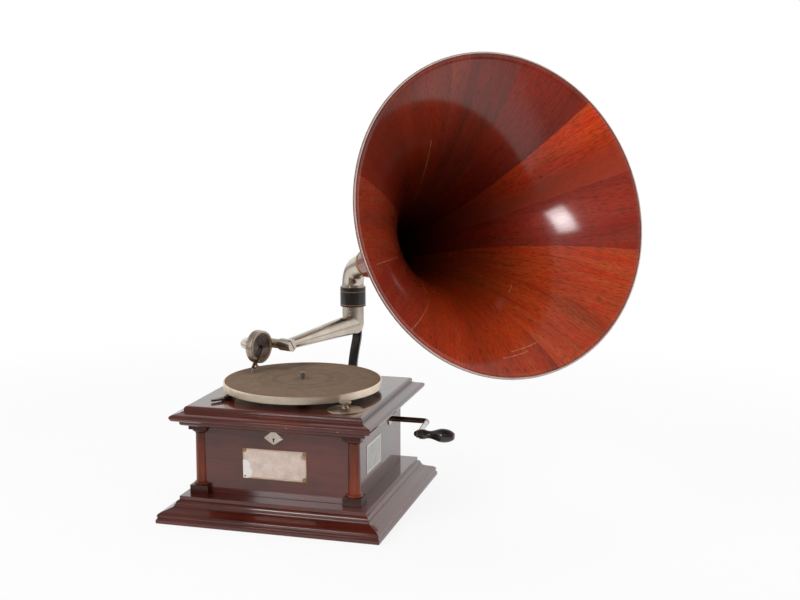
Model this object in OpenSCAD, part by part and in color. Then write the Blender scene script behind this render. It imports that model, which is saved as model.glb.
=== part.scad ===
// Horn gramophone with a wooden horn, a spring motor and a tone arm that swings under its collar.
// Millimetres, +Z up, front towards -Y, crank on +X. The origin is the centre of the base on the floor.

/* [Case] */
// Half width of the base at the floor
base_half = 179; // [170:0.5:190]
// Height of the base moulding
base_h = 38; // [34:0.5:44]
// Half width of the case across the front
case_half = 129.2; // [124:0.1:133]
// How far the case stands to the left of the middle of its base
case_shift = 1.9; // [0:0.1:3]
// Distance from the centre to the outside of the front wall
case_front = 123; // [118:0.5:126]
// Distance from the centre to the outside of the back wall
case_back = 127; // [122:0.5:130]
// Height of the case walls above the base
case_h = 118; // [110:0.5:126]
// Thickness of the case walls
wall_t = 10; // [8:0.5:12]
// Half width of the top board at its nose
top_half = 160.8; // [156:0.2:166]
// Height of the top board with its moulding
top_h = 23; // [21:0.5:25]
// Thickness of the bottom board
bottom_t = 6; // [4:0.5:8]

/* [Columns] */
// Distance from the centre plane to each column
column_x = 124.5; // [121:0.1:126]
// Distance from the centre to the columns along the front
column_y = 118; // [115:0.5:120]
// Diameter of a column at its foot
column_d = 19; // [16:0.5:21]
// Width of the square block under a column
column_block = 29.5; // [26:0.5:31]
// Height of the square block under a column
block_h = 13; // [10:0.5:16]
// Height of the square slab on top of a column
abacus_h = 16; // [13:0.5:18]

/* [Turntable] */
// Diameter of the turntable
table_d = 254; // [240:1:258]
// Height of the turntable rim
table_rim_h = 12; // [9:0.5:13]
// Gap between the top board and the turntable rim
table_gap = 8.5; // [7:0.5:12]
// Thickness of the felt
felt_t = 1; // [0.6:0.1:1.5]
// Radius of the record spindle
spindle_r = 3.6; // [3:0.1:4]
// How far the record spindle stands above the felt
spindle_up = 10.8; // [8:0.2:14]

/* [Controls] */
// Diameter of the speed dial
dial_d = 54.5; // [46:0.5:60]
// Diameter of the speed knob
knob_d = 18.7; // [15:0.1:22]
// Height of the speed knob above its dial
knob_h = 11; // [8:0.5:14]
// Distance from the crank shaft to the axis of its handle
crank_throw = 62; // [52:1:70]
// Diameter of the crank rod
crank_d = 8.8; // [7.5:0.1:10]
// Distance from the centre plane to the crank arm
crank_reach = 191.5; // [180:0.5:205]
// Largest diameter of the crank handle
handle_d = 22; // [18:0.5:26]
// Length of the crank handle
handle_l = 56; // [44:1:62]

/* [Tone arm] */
// Length of the tone arm from its pivot to the flip hinge
arm_l = 189; // [180:1:196]
// How far the tone arm points to the left of straight ahead, in degrees
arm_heading = 18; // [14:0.5:22]
// Outer diameter of the pipe at the pivot
pipe_d = 38; // [34:0.5:42]
// Outer diameter of the tone arm at its thin end
arm_tip_d = 17.5; // [16:0.5:19]
// Wall of the pipes
pipe_wall = 1.2; // [0.8:0.1:2]
// Height of the flip hinge above the turntable felt
hinge_up = 40; // [38:0.5:44]
// Diameter of the sound box
box_d = 54.6; // [48:0.2:58]
// Thickness of the sound box
box_t = 13; // [11:0.5:16]
// Radius of the bend of the gooseneck
neck_bend = 18.1; // [16:0.1:20]
// Outer diameter of the gooseneck
neck_d = 16; // [14:0.5:16.5]

/* [Horn] */
// Diameter of the bell at its rim
bell_d = 458; // [400:1:480]
// Length of the horn and its elbow along the axis
horn_l = 538; // [480:1:560]
// How strongly the horn flares
flare_k = 2.8; // [2.5:0.1:3.6]
// Wall of the wooden horn
horn_wall = 4; // [3:0.5:6]
// Tilt of the horn above level, in degrees
horn_tilt = 15.1; // [12:0.1:22]
// How far the horn points to the right of straight ahead, in degrees
horn_heading = 41.8; // [20:0.1:60]
// Diameter of the metal bead on the rim
bead_d = 3; // [2.5:0.5:5]

/* [Bracket] */
// Distance from the centre to the collar, towards the back
collar_y = 242.5; // [236:0.5:250]
// Distance of the collar from the centre plane
collar_x = 8; // [0:0.5:12]
// Height of the collar's lower edge above the top board
collar_up = 101; // [96:0.5:106]
// Height of the collar
collar_h = 34.5; // [30:0.5:38]
// Width of the bracket strap
strap_w = 16; // [12:0.5:22]
// Thickness of the bracket strap
strap_t = 6; // [5:0.5:8]

/* [Motor] */
// Thickness of the motor plates
plate_t = 4; // [3:0.5:5]
// Distance between the motor plates
motor_h = 113; // [108:0.5:116]
// Teeth of the gear on the spring barrel
barrel_teeth = 84; // [72:2:84]
// Teeth of the small pinions
pinion_teeth = 14; // [13:1:16]
// Tooth module of the barrel gear
barrel_module = 1.2; // [1.1:0.05:1.2]
// Tooth module of the gear that drives the spindle
spindle_module = 0.9; // [0.85:0.05:0.95]
// Width of the mainspring
spring_w = 32; // [24:1:34]

/* [Hidden] */
$fn = 64;
// Radial gap of a turning fit, and gap between parts that only pass each other
fit_gap = 0.05;
pass_gap = 0.3;

// Levels of the case
case_top = base_h + case_h;
top_z = case_top + top_h;
board_under = top_z - 12;
felt_top = top_z + table_gap + table_rim_h + 0.5;
cornice_h = 8;
cavity_front = case_front - wall_t;
cavity_back = case_back - wall_t;
case_left = -case_shift - case_half;
case_right = case_half - case_shift;
cavity_left = case_left + wall_t;
cavity_right = case_right - wall_t;
column_half = column_block / 2;
cornice_out = column_x + column_half + 9.6;
lock_x = -4.4;
lock_z = base_h + 94.9;
plate_x = [-52.3, 44.8];
plate_z = [base_h + 32.2, base_h + 73.3];
bolt_pos = [[-62, -44], [40, -60], [-56, 98], [84, 98]];
bracket_screw_x = [-6, 22];
bracket_screw_z = [top_z - 108, top_z - 50];

// Places of the controls on the top board
spindle_pos = [0, -2];
dial_at = -43.898;
dial_pos = spindle_pos + (table_d / 2 + 16.36) * [cos(dial_at), sin(dial_at)];
dial_t = 3;
brake_at = -137.19;
brake_pos = spindle_pos + (table_d / 2 + 2.49) * [cos(brake_at), sin(brake_at)];
brake_pin_r = 2.5;

// Collar, tone arm and sound box
collar_z = top_z + collar_up;
collar_r = pipe_d / 2 + 3.6;
ledge_z = collar_z + 14;
sleeve_r = pipe_d / 2 + 1.5;
arm_z = collar_z - 33;
hinge_z = felt_top + hinge_up;
hinge_tilt = atan2(arm_z - hinge_z, arm_l);
box_x = -30.3;
box_y = -arm_l - 2 * neck_bend;
needle_angle = 34;

// Horn
elbow_z = collar_z + 66;
elbow_r = pipe_d / 2 + 0.3;
throat_x = 74;
throat_r = pipe_d / 2 + 2;
bell_r = bell_d / 2;
flare_steps = 44;

// Motor: the arbors stand upright and the governor lies along X
motor_top = board_under - plate_t;
lower_top = motor_top - motor_h;
barrel_pos = [20, 60];
crank_z = base_h + 89;
crank_tilt = 4.6;
eye_half = 2;
arbor_r = 5;
drum_r = 42;
barrel_gear_z = lower_top + 48;
barrel_gear_t = 10;
crown_teeth = 30;
crank_pinion_teeth = 15;
crown_module = 1.3;
crown_r = crown_teeth * crown_module / 2;
crank_pinion_r = crank_pinion_teeth * crown_module / 2;
crown_plane = crank_z - crank_pinion_r;
crown_face = 6;
idler_teeth = 84;
barrel_distance = (barrel_teeth + pinion_teeth) * barrel_module / 2;
spindle_distance = (idler_teeth + pinion_teeth) * spindle_module / 2;
idler_pos = meeting(spindle_pos, spindle_distance, barrel_pos, barrel_distance);
idler_gear_z = crown_plane + 4.75;
idler_gear_t = 8;
idler_r = 3;
core_r = spindle_r + 0.9;
lever_pivot = [84, -62];
ratchet_teeth = 48;
ratchet_r = 16;
governor_z = motor_top - 13;
worm_starts = 4;
worm_lead_angle = 20;
wheel_teeth = 60;
worm_module = 0.9;
worm_r = worm_starts * worm_module / (2 * sin(worm_lead_angle));
wheel_r = wheel_teeth * worm_module / (2 * cos(worm_lead_angle));
governor_y = spindle_pos[1] - worm_r - wheel_r - 0.4;
governor_r = 3;
worm_phase = 45;
weight_x = 38;
disc_x = 60;
bearing_x = [-22, 80];

// Where two gears of known distances from their neighbours stand
function meeting(p, rp, q, rq) =
    let (d = norm(q - p), u = (q - p) / d, a = (rp * rp - rq * rq + d * d) / (2 * d),
        h = sqrt(rp * rp - a * a))
    p + a * u + h * [-u[1], u[0]];

// Curves for mouldings: points from p to q, as an S, a quarter bulge or a quarter hollow
function s_curve(p, q, n) =
    [for (i = [0:n]) [p[0] + (q[0] - p[0]) * (1 - cos(180 * i / n)) / 2, p[1] + (q[1] - p[1]) * i / n]];
function bulge(p, q, n) =
    [for (i = [0:n]) [p[0] + (q[0] - p[0]) * (1 - cos(90 * i / n)), p[1] + (q[1] - p[1]) * sin(90 * i / n)]];
function hollow(p, q, n) =
    [for (i = [0:n]) [p[0] + (q[0] - p[0]) * sin(90 * i / n), p[1] + (q[1] - p[1]) * (1 - cos(90 * i / n))]];
function mirrored(p) = concat(p, [for (i = [len(p) - 1:-1:0]) [-p[i][0], p[i][1]]]);

// A square block with the same moulding on all four sides, mitred at the corners
module moulded(profile) {
    intersection() {
        rotate([90, 0, 0]) linear_extrude(2 * base_half + 20, center = true) polygon(mirrored(profile));
        rotate([90, 0, 90]) linear_extrude(2 * base_half + 20, center = true) polygon(mirrored(profile));
    }
}

module box_at(x0, x1, y0, y1, z0, z1) {
    translate([x0, y0, z0]) cube([x1 - x0, y1 - y0, z1 - z0]);
}

module tube(r, inner, h) {
    difference() {
        cylinder(r = r, h = h);
        translate([0, 0, -1]) cylinder(r = inner, h = h + 2);
    }
}

module in_arm() {
    translate([collar_x, collar_y, 0]) rotate([0, 0, -arm_heading]) children();
}

module in_box() {
    in_arm() translate([box_x, box_y, hinge_z]) children();
}

module in_horn() {
    translate([collar_x, collar_y, elbow_z]) rotate([0, 0, horn_heading - 90]) rotate([0, 90 - horn_tilt, 0])
        children();
}

// Round-headed wood screw, head outwards along +Z, with a slot
module screw(head_r, head_h, shank_r, shank_l) {
    difference() {
        union() {
            intersection() {
                cylinder(r = head_r, h = head_h, $fn = 24);
                translate([0, 0, head_h - 2 * head_r]) sphere(r = 2 * head_r, $fn = 24);
            }
            translate([0, 0, -shank_l]) cylinder(r = shank_r, h = shank_l, $fn = 24);
        }
        translate([-head_r - 1, -head_r * 0.12, head_h * 0.5]) cube([2 * head_r + 2, head_r * 0.24, head_h]);
    }
}

// Spur gear with straight-sided teeth curved as an involute, thinned for backlash
function tooth_flank(pitch_r, base_r, r) =
    let (a = acos(base_r / pitch_r), b = acos(min(1, base_r / r)))
    (tan(a) - tan(b)) * 180 / PI - a + b;
module gear_outline(teeth, mod, slack = 0.12) {
    pitch_r = teeth * mod / 2;
    base_r = pitch_r * cos(20);
    root_r = pitch_r - 1.2 * mod;
    tip_r = pitch_r + 0.95 * mod;
    half = 90 / teeth - slack / pitch_r * 90 / PI;
    low_r = max(base_r, root_r);
    radii = [root_r, low_r, (low_r + pitch_r) / 2, pitch_r, (pitch_r + tip_r) / 2, tip_r];
    side = [for (r = radii) [r, half + tooth_flank(pitch_r, base_r, max(r, low_r))]];
    polygon([for (t = [0:teeth - 1]) each concat(
        [for (i = [0:5]) side[i][0] * [cos(360 * t / teeth - side[i][1]), sin(360 * t / teeth - side[i][1])]],
        [for (i = [5:-1:0]) side[i][0] * [cos(360 * t / teeth + side[i][1]), sin(360 * t / teeth + side[i][1])]])]);
}

module base_frame() {
    profile = concat(
        [[base_half - 1, 0], [base_half, 1], [base_half, 5.7], [base_half - 0.8, 6.5], [base_half - 1.8, 7.5],
            [base_half - 2.5, 10.8], [base_half - 1.3, 10.8], [base_half - 1.5, 12.8]],
        s_curve([base_half - 2.3, 13.4], [base_half - 21.8, 24.6], 10), [[base_half - 21.8, 25.9]],
        bulge([base_half - 23.2, 25.9], [base_half - 28.2, base_h - 5.8], 5), [[base_half - 28.2, base_h]]);
    color("saddlebrown") difference() {
        moulded(profile);
        box_at(cavity_left, cavity_right, -cavity_front, cavity_back, -1, base_h + 1);
        box_at(cavity_left - 6, cavity_right + 6, -cavity_front - 6, cavity_back + 6, -1, bottom_t);
    }
}

module bottom_board() {
    color("tan") difference() {
        box_at(cavity_left - 6 + pass_gap, cavity_right + 6 - pass_gap, -cavity_front - 6 + pass_gap,
            cavity_back + 6 - pass_gap, 0, bottom_t);
        for (x = [-60, 60]) translate([x, 0, -1]) cylinder(r = 6, h = 20);
    }
}

// The front corners are cut back for the columns, with a post behind each
// Outline of a turned column from the block under it to the block on it, a gap wider all round
function column_outline(gap) = let (r = column_d / 2 + gap, low = base_h + block_h, high = case_top - abacus_h)
    concat([[0, low], [r + 3, low]], bulge([r + 3.4, low + 0.6], [r + 0.8, low + 4 + gap], 4),
        [[r, low + 5 + gap], [r - 0.7, high - 6.9 - gap], [r + 0.5, high - 6.5 - gap], [r + 0.5, high - 5.7],
            [r - 0.4, high - 5.3]],
        hollow([r + 0.2, high - 4.8], [r + 4.8, high - 1], 5), [[r + 4.8, high], [0, high]]);

module case_body() {
    cut_x = column_x - column_half - pass_gap;
    cut_y = column_y - column_half - pass_gap;
    color("saddlebrown") difference() {
        union() {
            difference() {
                box_at(case_left, case_right, -case_front, case_back, base_h, case_top);
                box_at(cavity_left, cavity_right, -cavity_front, cavity_back, base_h - 1, case_top + 1);
            }
            for (s = [-1, 1]) translate([s * (cut_x + 2) - case_shift, -cut_y - 2, base_h + case_h / 2 - 4])
                cube([20, 20, case_h - 8], center = true);
        }
        for (s = [-1, 1]) translate([s * column_x - case_shift, -column_y, 0])
            rotate_extrude($fn = 48) polygon(column_outline(pass_gap));
        for (s = [-1, 1], z = [base_h + block_h - case_h / 2, case_top - abacus_h + case_h / 2])
            translate([s * (cut_x + 25) - case_shift, -cut_y - 25, z])
                cube([50, 50, case_h + 2 * pass_gap], center = true);
        translate([cavity_right - 1, barrel_pos[1], crank_z]) rotate([0, 90, 0])
            cylinder(r = crank_d / 2 + 3.5 + fit_gap, h = wall_t + 2);
        translate([lock_x, -case_front - 1, lock_z - 1.4]) rotate([-90, 0, 0]) cylinder(r = 2.4, h = wall_t + 2);
        box_at(lock_x - 0.9, lock_x + 0.9, -case_front - 1, -cavity_front + 1, lock_z - 6.5, lock_z - 2);
        for (s = [-1, 1]) translate([lock_x + s * 11, -case_front - 1, lock_z]) rotate([-90, 0, 0])
            cylinder(r = 0.9 + fit_gap, h = 8.5);
        for (x = plate_x, z = plate_z) translate([x, -case_front - 1, z]) rotate([-90, 0, 0])
            cylinder(r = 0.9 + fit_gap, h = 8);
        for (z = bracket_screw_z, x = bracket_screw_x) translate([x, case_back + 1, z]) rotate([90, 0, 0])
            cylinder(r = 2 + fit_gap, h = 9.5);
    }
}

module column() {
    color("sienna") translate([0, -column_y, 0]) {
        rotate_extrude($fn = 48) polygon(column_outline(0));
        translate([0, 0, base_h + block_h / 2]) cube([column_block, column_block, block_h], center = true);
        translate([0, 0, case_top - abacus_h / 2]) cube([column_block, column_block, abacus_h], center = true);
    }
}

module column_left() {
    translate([-column_x - case_shift, 0, 0]) column();
}

module column_right() {
    translate([column_x - case_shift, 0, 0]) column();
}

// Bed mould under the top board: a ring round the case that also caps the columns
module cornice() {
    low = case_top - cornice_h;
    profile = concat([[column_x + column_half + 2.4, low]],
        hollow([column_x + column_half + 2.4, low + 0.6], [column_x + column_half + 9.6, low + 4.7], 5),
        [[column_x + column_half + 9.6, case_top]]);
    color("saddlebrown") difference() {
        moulded(profile);
        box_at(case_left - 0.05, case_right + 0.05, -case_front - 0.05, case_back + 0.05, low - 1, case_top + 1);
        for (s = [-1, 1]) translate([s * column_x - case_shift, -column_y, low])
            cube([column_block + 0.1, column_block + 0.1, 3 * cornice_h], center = true);
    }
}

module top_board() {
    profile = concat(hollow([cornice_out, case_top], [top_half - 0.8, case_top + 5], 4),
        [[top_half, case_top + 5.6], [top_half, case_top + 9], [top_half - 0.7, case_top + 9.7]],
        s_curve([top_half - 1.6, case_top + 10.2], [top_half - 15.5, case_top + 15], 9),
        [[top_half - 17.5, case_top + 15.2], [top_half - 17.5, top_z - 3.9]],
        bulge([top_half - 17.7, top_z - 3.7], [top_half - 22.5, top_z], 5));
    color("saddlebrown") difference() {
        moulded(profile);
        box_at(cavity_left + 2, cavity_right - 2, -cavity_front + 2, cavity_back - 2, case_top - 1, board_under);
        translate([spindle_pos[0], spindle_pos[1], board_under - 1]) cylinder(r = 11, h = 14);
        translate([dial_pos[0], dial_pos[1], board_under - 1]) cylinder(r = 4.3, h = 14);
        translate([brake_pos[0], brake_pos[1], top_z - 10]) cylinder(r = brake_pin_r + fit_gap, h = 11);
        for (p = bolt_pos) translate([p[0], p[1], board_under - 1]) cylinder(r = 2.5 + fit_gap, h = 14);
    }
}

// A diamond with cut corners and a keyhole
module escutcheon() {
    half_w = 15.5;
    half_h = 9.5;
    color("silver") translate([lock_x, -case_front, lock_z]) rotate([90, 0, 0]) difference() {
        linear_extrude(1.2) difference() {
            polygon([[-half_w, 0], [-half_w + 1.5, 1.4], [-4, half_h], [4, half_h], [half_w - 1.5, 1.4],
                [half_w, 0], [2, -half_h + 0.4], [0, -half_h], [-2, -half_h + 0.4]]);
            translate([0, -1.4]) circle(r = 1.7, $fn = 24);
            translate([-0.8, -6]) square([1.6, 5]);
        }
        for (s = [-1, 1]) translate([s * 11, 0, -1]) cylinder(r = 0.9 + fit_gap, h = 4, $fn = 24);
    }
}

module escutcheon_screws() {
    color("gold") for (s = [-1, 1]) translate([lock_x + s * 11, -case_front - 1.2, lock_z])
        rotate([90, 0, 0]) screw(1.9, 0.9, 0.9, 7);
}

// Cupboard lock behind the front wall
module lock() {
    color("goldenrod") difference() {
        box_at(lock_x - 19, lock_x + 19, -cavity_front, -cavity_front + 9, lock_z - 20, lock_z + 12);
        translate([lock_x, -cavity_front - 1, lock_z - 1.4]) rotate([-90, 0, 0]) cylinder(r = 2.4, h = 7);
    }
}

module name_plate() {
    color("gainsboro") difference() {
        box_at(-55.5, 48, -case_front - 0.8, -case_front, base_h + 29, base_h + 76.5);
        for (x = plate_x, z = plate_z) translate([x, -case_front + 1, z]) rotate([90, 0, 0])
            cylinder(r = 0.9 + fit_gap, h = 4, $fn = 24);
    }
}

module plate_screws() {
    color("gold") for (x = plate_x, z = plate_z) translate([x, -case_front - 0.8, z]) rotate([90, 0, 0])
        screw(1.7, 0.8, 0.9, 7);
}

module side_label() {
    color("lightgray") box_at(case_right, case_right + 0.4, -69.5, 6.5, base_h + 32.5, base_h + 78.5);
}

// Side outline of the strap: two curves and a straight run beside the collar, thickened both ways
function curve(a, b, c, d, t) =
    pow(1 - t, 3) * a + 3 * t * pow(1 - t, 2) * b + 3 * t * t * (1 - t) * c + pow(t, 3) * d;
strap_back = collar_y + collar_r + strap_t / 2 - 0.4;
strap_knee = [collar_y - 3.5, top_z - 7];
strap_line = concat(
    [for (i = [0:9]) curve([case_back + 3, top_z - 84], [case_back + 62, top_z - 84], [collar_y - 22, top_z - 52],
        strap_knee, i / 10)],
    [for (i = [0:10]) curve(strap_knee, [collar_y + 9.5, top_z + 29], [strap_back, top_z + 32],
        [strap_back, top_z + 52], i / 10)], [[strap_back, collar_z + 32]]);
function strap_side(s) = [for (i = [0:len(strap_line) - 1]) let (
    d = strap_line[min(i + 1, len(strap_line) - 1)] - strap_line[max(i - 1, 0)], n = [-d[1], d[0]] / norm(d))
    strap_line[i] + s * strap_t / 2 * n];

module back_bracket() {
    near = strap_side(1);
    far = strap_side(-1);
    color([0.1, 0.1, 0.1]) difference() {
        union() {
            translate([collar_x - strap_w / 2, 0, 0]) rotate([90, 0, 90]) linear_extrude(strap_w)
                polygon(concat(near, [for (i = [len(far) - 1:-1:0]) far[i]]));
            translate([collar_x - 2.5, 0, 0]) rotate([90, 0, 90]) linear_extrude(5)
                polygon(concat([for (p = far) p + [1, -1]], [for (i = [len(far) - 1:-1:0]) far[i] + [5, -5]]));
            box_at(collar_x - 20, collar_x + 20, case_back, case_back + 6, top_z - 118, top_z - 40);
            translate([collar_x, collar_y, collar_z]) cylinder(r = collar_r, h = collar_h);
            box_at(collar_x - strap_w / 2, collar_x + strap_w / 2, collar_y + collar_r - 5, strap_back,
                collar_z + 1.5, collar_z + 32);
        }
        translate([collar_x, collar_y, collar_z - 1]) cylinder(r = pipe_d / 2 + fit_gap, h = collar_h);
        translate([collar_x, collar_y, ledge_z]) cylinder(r = sleeve_r + fit_gap, h = collar_h);
        for (x = bracket_screw_x, z = bracket_screw_z) translate([x, case_back + 7, z]) rotate([90, 0, 0])
            cylinder(r = 2 + fit_gap, h = 8);
    }
}

module bracket_screws() {
    color("dimgray") for (x = bracket_screw_x, z = bracket_screw_z) translate([x, case_back + 6, z])
        rotate([-90, 0, 0]) screw(4, 2.4, 2, 14);
}

module crank_bush() {
    color("goldenrod") translate([0, barrel_pos[1], crank_z]) rotate([0, 90, 0]) difference() {
        union() {
            translate([0, 0, cavity_right]) cylinder(r = crank_d / 2 + 3.5, h = wall_t + 1);
            translate([0, 0, case_right]) cylinder(r = crank_d / 2 + 6, h = 1.5);
        }
        translate([0, 0, cavity_right - 1]) cylinder(r = crank_d / 2 + fit_gap, h = wall_t + 5);
    }
}

// Motor plates: the upper one hangs from the top board, the lower one hangs from it on four pillars
pillar_pos = [[-54, -22], [60, -12], [-46, 106], [84, 106]];
module motor_plate() {
    color("dimgray") difference() {
        union() {
            box_at(-72, 94, -70, 109, motor_top, board_under);
            translate([spindle_pos[0], spindle_pos[1], motor_top]) cylinder(r = 9, h = plate_t + 5);
            translate([lever_pivot[0], lever_pivot[1], motor_top - 3]) cylinder(r = 4, h = 3);
            translate([lever_pivot[0], lever_pivot[1], motor_top - 8]) cylinder(r = 2, h = 8);
            box_at(46, 50, barrel_pos[1] - 8, barrel_pos[1] + 8, crank_z - 7, motor_top);
        }
        translate([45, barrel_pos[1], crank_z]) rotate([0, 90, 0]) cylinder(r = 3.5 + fit_gap, h = 6);
        translate([spindle_pos[0], spindle_pos[1], motor_top - 1]) cylinder(r = core_r + fit_gap, h = 20);
        translate([barrel_pos[0], barrel_pos[1], motor_top - 1]) cylinder(r = arbor_r + fit_gap, h = plate_t);
        translate([idler_pos[0], idler_pos[1], motor_top - 1]) cylinder(r = idler_r + fit_gap, h = plate_t);
        for (p = bolt_pos) translate([p[0], p[1], motor_top - 1]) cylinder(r = 2.5 + fit_gap, h = 12);
        for (p = pillar_pos) translate([p[0], p[1], motor_top - 1]) cylinder(r = 2.5 + fit_gap, h = 12);
        for (x = bearing_x) translate([x, governor_y, motor_top - 1]) cylinder(r = 1.6 + fit_gap, h = 4);
    }
}

module motor_bolts() {
    color("silver") for (p = bolt_pos) {
        translate([p[0], p[1], top_z]) screw(5, 3, 2.5, top_z - motor_top + 6);
        translate([p[0], p[1], motor_top - 4]) difference() {
            cylinder(r = 4.5, h = 4, $fn = 6);
            translate([0, 0, -1]) cylinder(r = 2.5 + fit_gap, h = 6);
        }
    }
}

module lower_plate() {
    color("dimgray") difference() {
        union() {
            box_at(-60, 92, -28, 113, lower_top - plate_t, lower_top);
            translate([pawl_pos[0], pawl_pos[1], lower_top]) cylinder(r = 2, h = 3.9);
        }
        translate([spindle_pos[0], spindle_pos[1], lower_top - plate_t + 1])
            cylinder(r = core_r + fit_gap, h = 20);
        translate([barrel_pos[0], barrel_pos[1], lower_top - plate_t + 1]) cylinder(r = arbor_r + fit_gap, h = 20);
        translate([idler_pos[0], idler_pos[1], lower_top - plate_t + 1]) cylinder(r = idler_r + fit_gap, h = 20);
        for (p = pillar_pos) translate([p[0], p[1], 0]) cylinder(r = 2.5 + fit_gap, h = lower_top + 1);
    }
}

// Each pillar has a thinner threaded end through both plates, with nuts under the lower one
module motor_pillars() {
    color("goldenrod") for (p = pillar_pos) translate([p[0], p[1], 0]) {
        translate([0, 0, lower_top]) cylinder(r = 4, h = motor_h);
        translate([0, 0, lower_top - plate_t - 5]) cylinder(r = 2.5, h = motor_h + 2 * plate_t + 5);
        translate([0, 0, lower_top - plate_t - 3.5]) cylinder(r = 4.5, h = 3.5, $fn = 6);
    }
}

module gear_at(pos, z, h, teeth, mod, phase) {
    translate([pos[0], pos[1], z]) rotate([0, 0, phase]) linear_extrude(h) gear_outline(teeth, mod);
}
function heading(p, q) = atan2(q[1] - p[1], q[0] - p[0]);

module spring_barrel() {
    drum_z = lower_top + 6;
    color("goldenrod") difference() {
        union() {
            translate([barrel_pos[0], barrel_pos[1], drum_z]) tube(drum_r, drum_r - 2, barrel_gear_z - drum_z);
            gear_at(barrel_pos, barrel_gear_z, barrel_gear_t, barrel_teeth, barrel_module,
                heading(barrel_pos, idler_pos));
        }
        translate([barrel_pos[0], barrel_pos[1], barrel_gear_z - 1]) cylinder(r = arbor_r + fit_gap, h = 20);
        translate([barrel_pos[0], barrel_pos[1], barrel_gear_z + 3]) tube(drum_r, arbor_r + 5, 20);
        translate([barrel_pos[0], barrel_pos[1], barrel_gear_z - 1]) tube(drum_r - 4, arbor_r + 5, 3);
    }
}

module barrel_cover() {
    color("goldenrod") translate([barrel_pos[0], barrel_pos[1], lower_top + 4])
        tube(drum_r, arbor_r + fit_gap, 2);
}

// The coiled mainspring, from the arbor out to the drum
module mainspring() {
    turns = 9;
    steps = 20;
    inner_r = arbor_r + 0.5;
    pitch = (drum_r - 2.6 - inner_r - 0.8) / turns;
    edge = [for (i = [0:turns * steps]) inner_r + pitch * i / steps];
    color("slategray") translate([barrel_pos[0], barrel_pos[1], lower_top + 11]) linear_extrude(spring_w)
        polygon(concat([for (i = [0:turns * steps]) edge[i] * [cos(360 * i / steps), sin(360 * i / steps)]],
            [for (i = [turns * steps:-1:0])
                (edge[i] + 0.8) * [cos(360 * i / steps), sin(360 * i / steps)]]));
}

module barrel_arbor() {
    color("silver") translate([barrel_pos[0], barrel_pos[1], 0]) {
        translate([0, 0, lower_top - plate_t + 1]) cylinder(r = arbor_r, h = motor_h + plate_t + 1.8);
        translate([0, 0, lower_top + 0.4]) cylinder(r = 8, h = 0.9);
    }
}

module ratchet_wheel() {
    color("silver") translate([barrel_pos[0], barrel_pos[1], lower_top + 1.3]) linear_extrude(2.4) difference() {
        polygon([for (i = [0:ratchet_teeth - 1]) each [
            ratchet_r * [cos(360 * i / ratchet_teeth), sin(360 * i / ratchet_teeth)],
            (ratchet_r - 1.2) * [cos(360 * (i + 0.1) / ratchet_teeth), sin(360 * (i + 0.1) / ratchet_teeth)]]]);
        circle(r = arbor_r + fit_gap);
    }
}

// The pawl's nose rides on a tooth tip, and drops into the space beside it when it turns back by its lift
pawl_r = 26;
pawl_at = -49.5;
pawl_lift = 3.8;
pawl_pos = barrel_pos + pawl_r * [cos(pawl_at), sin(pawl_at)];
module ratchet_pawl() {
    nose = -3 * 360 / ratchet_teeth + 1.6;
    function polar(r, a) = barrel_pos + r * [cos(a), sin(a)];
    color("silver") translate([pawl_pos[0], pawl_pos[1], lower_top + 0.3]) rotate([0, 0, -pawl_lift])
        translate([-pawl_pos[0], -pawl_pos[1], 0]) difference() {
        union() {
            translate([pawl_pos[0], pawl_pos[1], 0]) cylinder(r = 4.5, h = 3.4);
            linear_extrude(3.4) polygon([polar(ratchet_r - 0.75, nose), polar(ratchet_r + 3.5, nose + 1.5),
                pawl_pos + [3.6, 0], pawl_pos - [3.6, 0], polar(ratchet_r + 1.2, nose - 9),
                polar(ratchet_r + 0.3, nose - 0.4)]);
        }
        translate([pawl_pos[0], pawl_pos[1], -1]) cylinder(r = 2 + fit_gap, h = 6);
    }
}

// Winding wheel with its teeth standing up, cut as parallel-sided spaces
module contrate_wheel() {
    slot = crown_module * PI / 2 + 0.75;
    rise = crown_module * 1.25;
    color("goldenrod") translate([barrel_pos[0], barrel_pos[1], 0]) difference() {
        union() {
            translate([0, 0, barrel_gear_z + barrel_gear_t + 1.2])
                cylinder(r = crown_r + crown_face / 2, h = crown_plane - rise - barrel_gear_z - barrel_gear_t - 1.2);
            translate([0, 0, barrel_gear_z + barrel_gear_t + 0.4]) cylinder(r = 9, h = 3);
            translate([0, 0, crown_plane - rise - 0.1])
                tube(crown_r + crown_face / 2, crown_r - crown_face / 2, rise + 0.9 * crown_module + 0.1);
        }
        for (i = [0:crown_teeth - 1]) rotate([0, 0, 360 * i / crown_teeth]) translate([crown_r - 5, 0, crown_plane])
            rotate([90, 0, 90]) linear_extrude(10) polygon([
                [-slot / 2 + rise * tan(20), -rise], [slot / 2 - rise * tan(20), -rise],
                [slot / 2 + 2 * tan(20), 2], [-slot / 2 - 2 * tan(20), 2]]);
        translate([0, 0, barrel_gear_z]) cylinder(r = arbor_r + fit_gap, h = 40);
    }
}

// Horizontal shaft from the crank socket in the case wall to the pinion over the winding wheel
module winding_shaft() {
    pinion_x = barrel_pos[0] + crown_r - 2;
    color("silver") translate([0, barrel_pos[1], crank_z]) rotate([0, 90, 0]) difference() {
        union() {
            translate([0, 0, pinion_x - 3]) cylinder(r = 3.5, h = cavity_right - 12 - pinion_x + 3);
            translate([0, 0, cavity_right - 22]) cylinder(r = 7.5, h = 20);
            translate([0, 0, pinion_x]) linear_extrude(4)
                gear_outline(crank_pinion_teeth, crown_module, 0.2);
        }
        translate([0, 0, cavity_right - 14]) cylinder(r = 4.4 - 1.2 + fit_gap, h = 20);
    }
}

module in_crank() {
    translate([0, barrel_pos[1], crank_z]) rotate([crank_tilt, 0, 0]) children();
}

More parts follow.
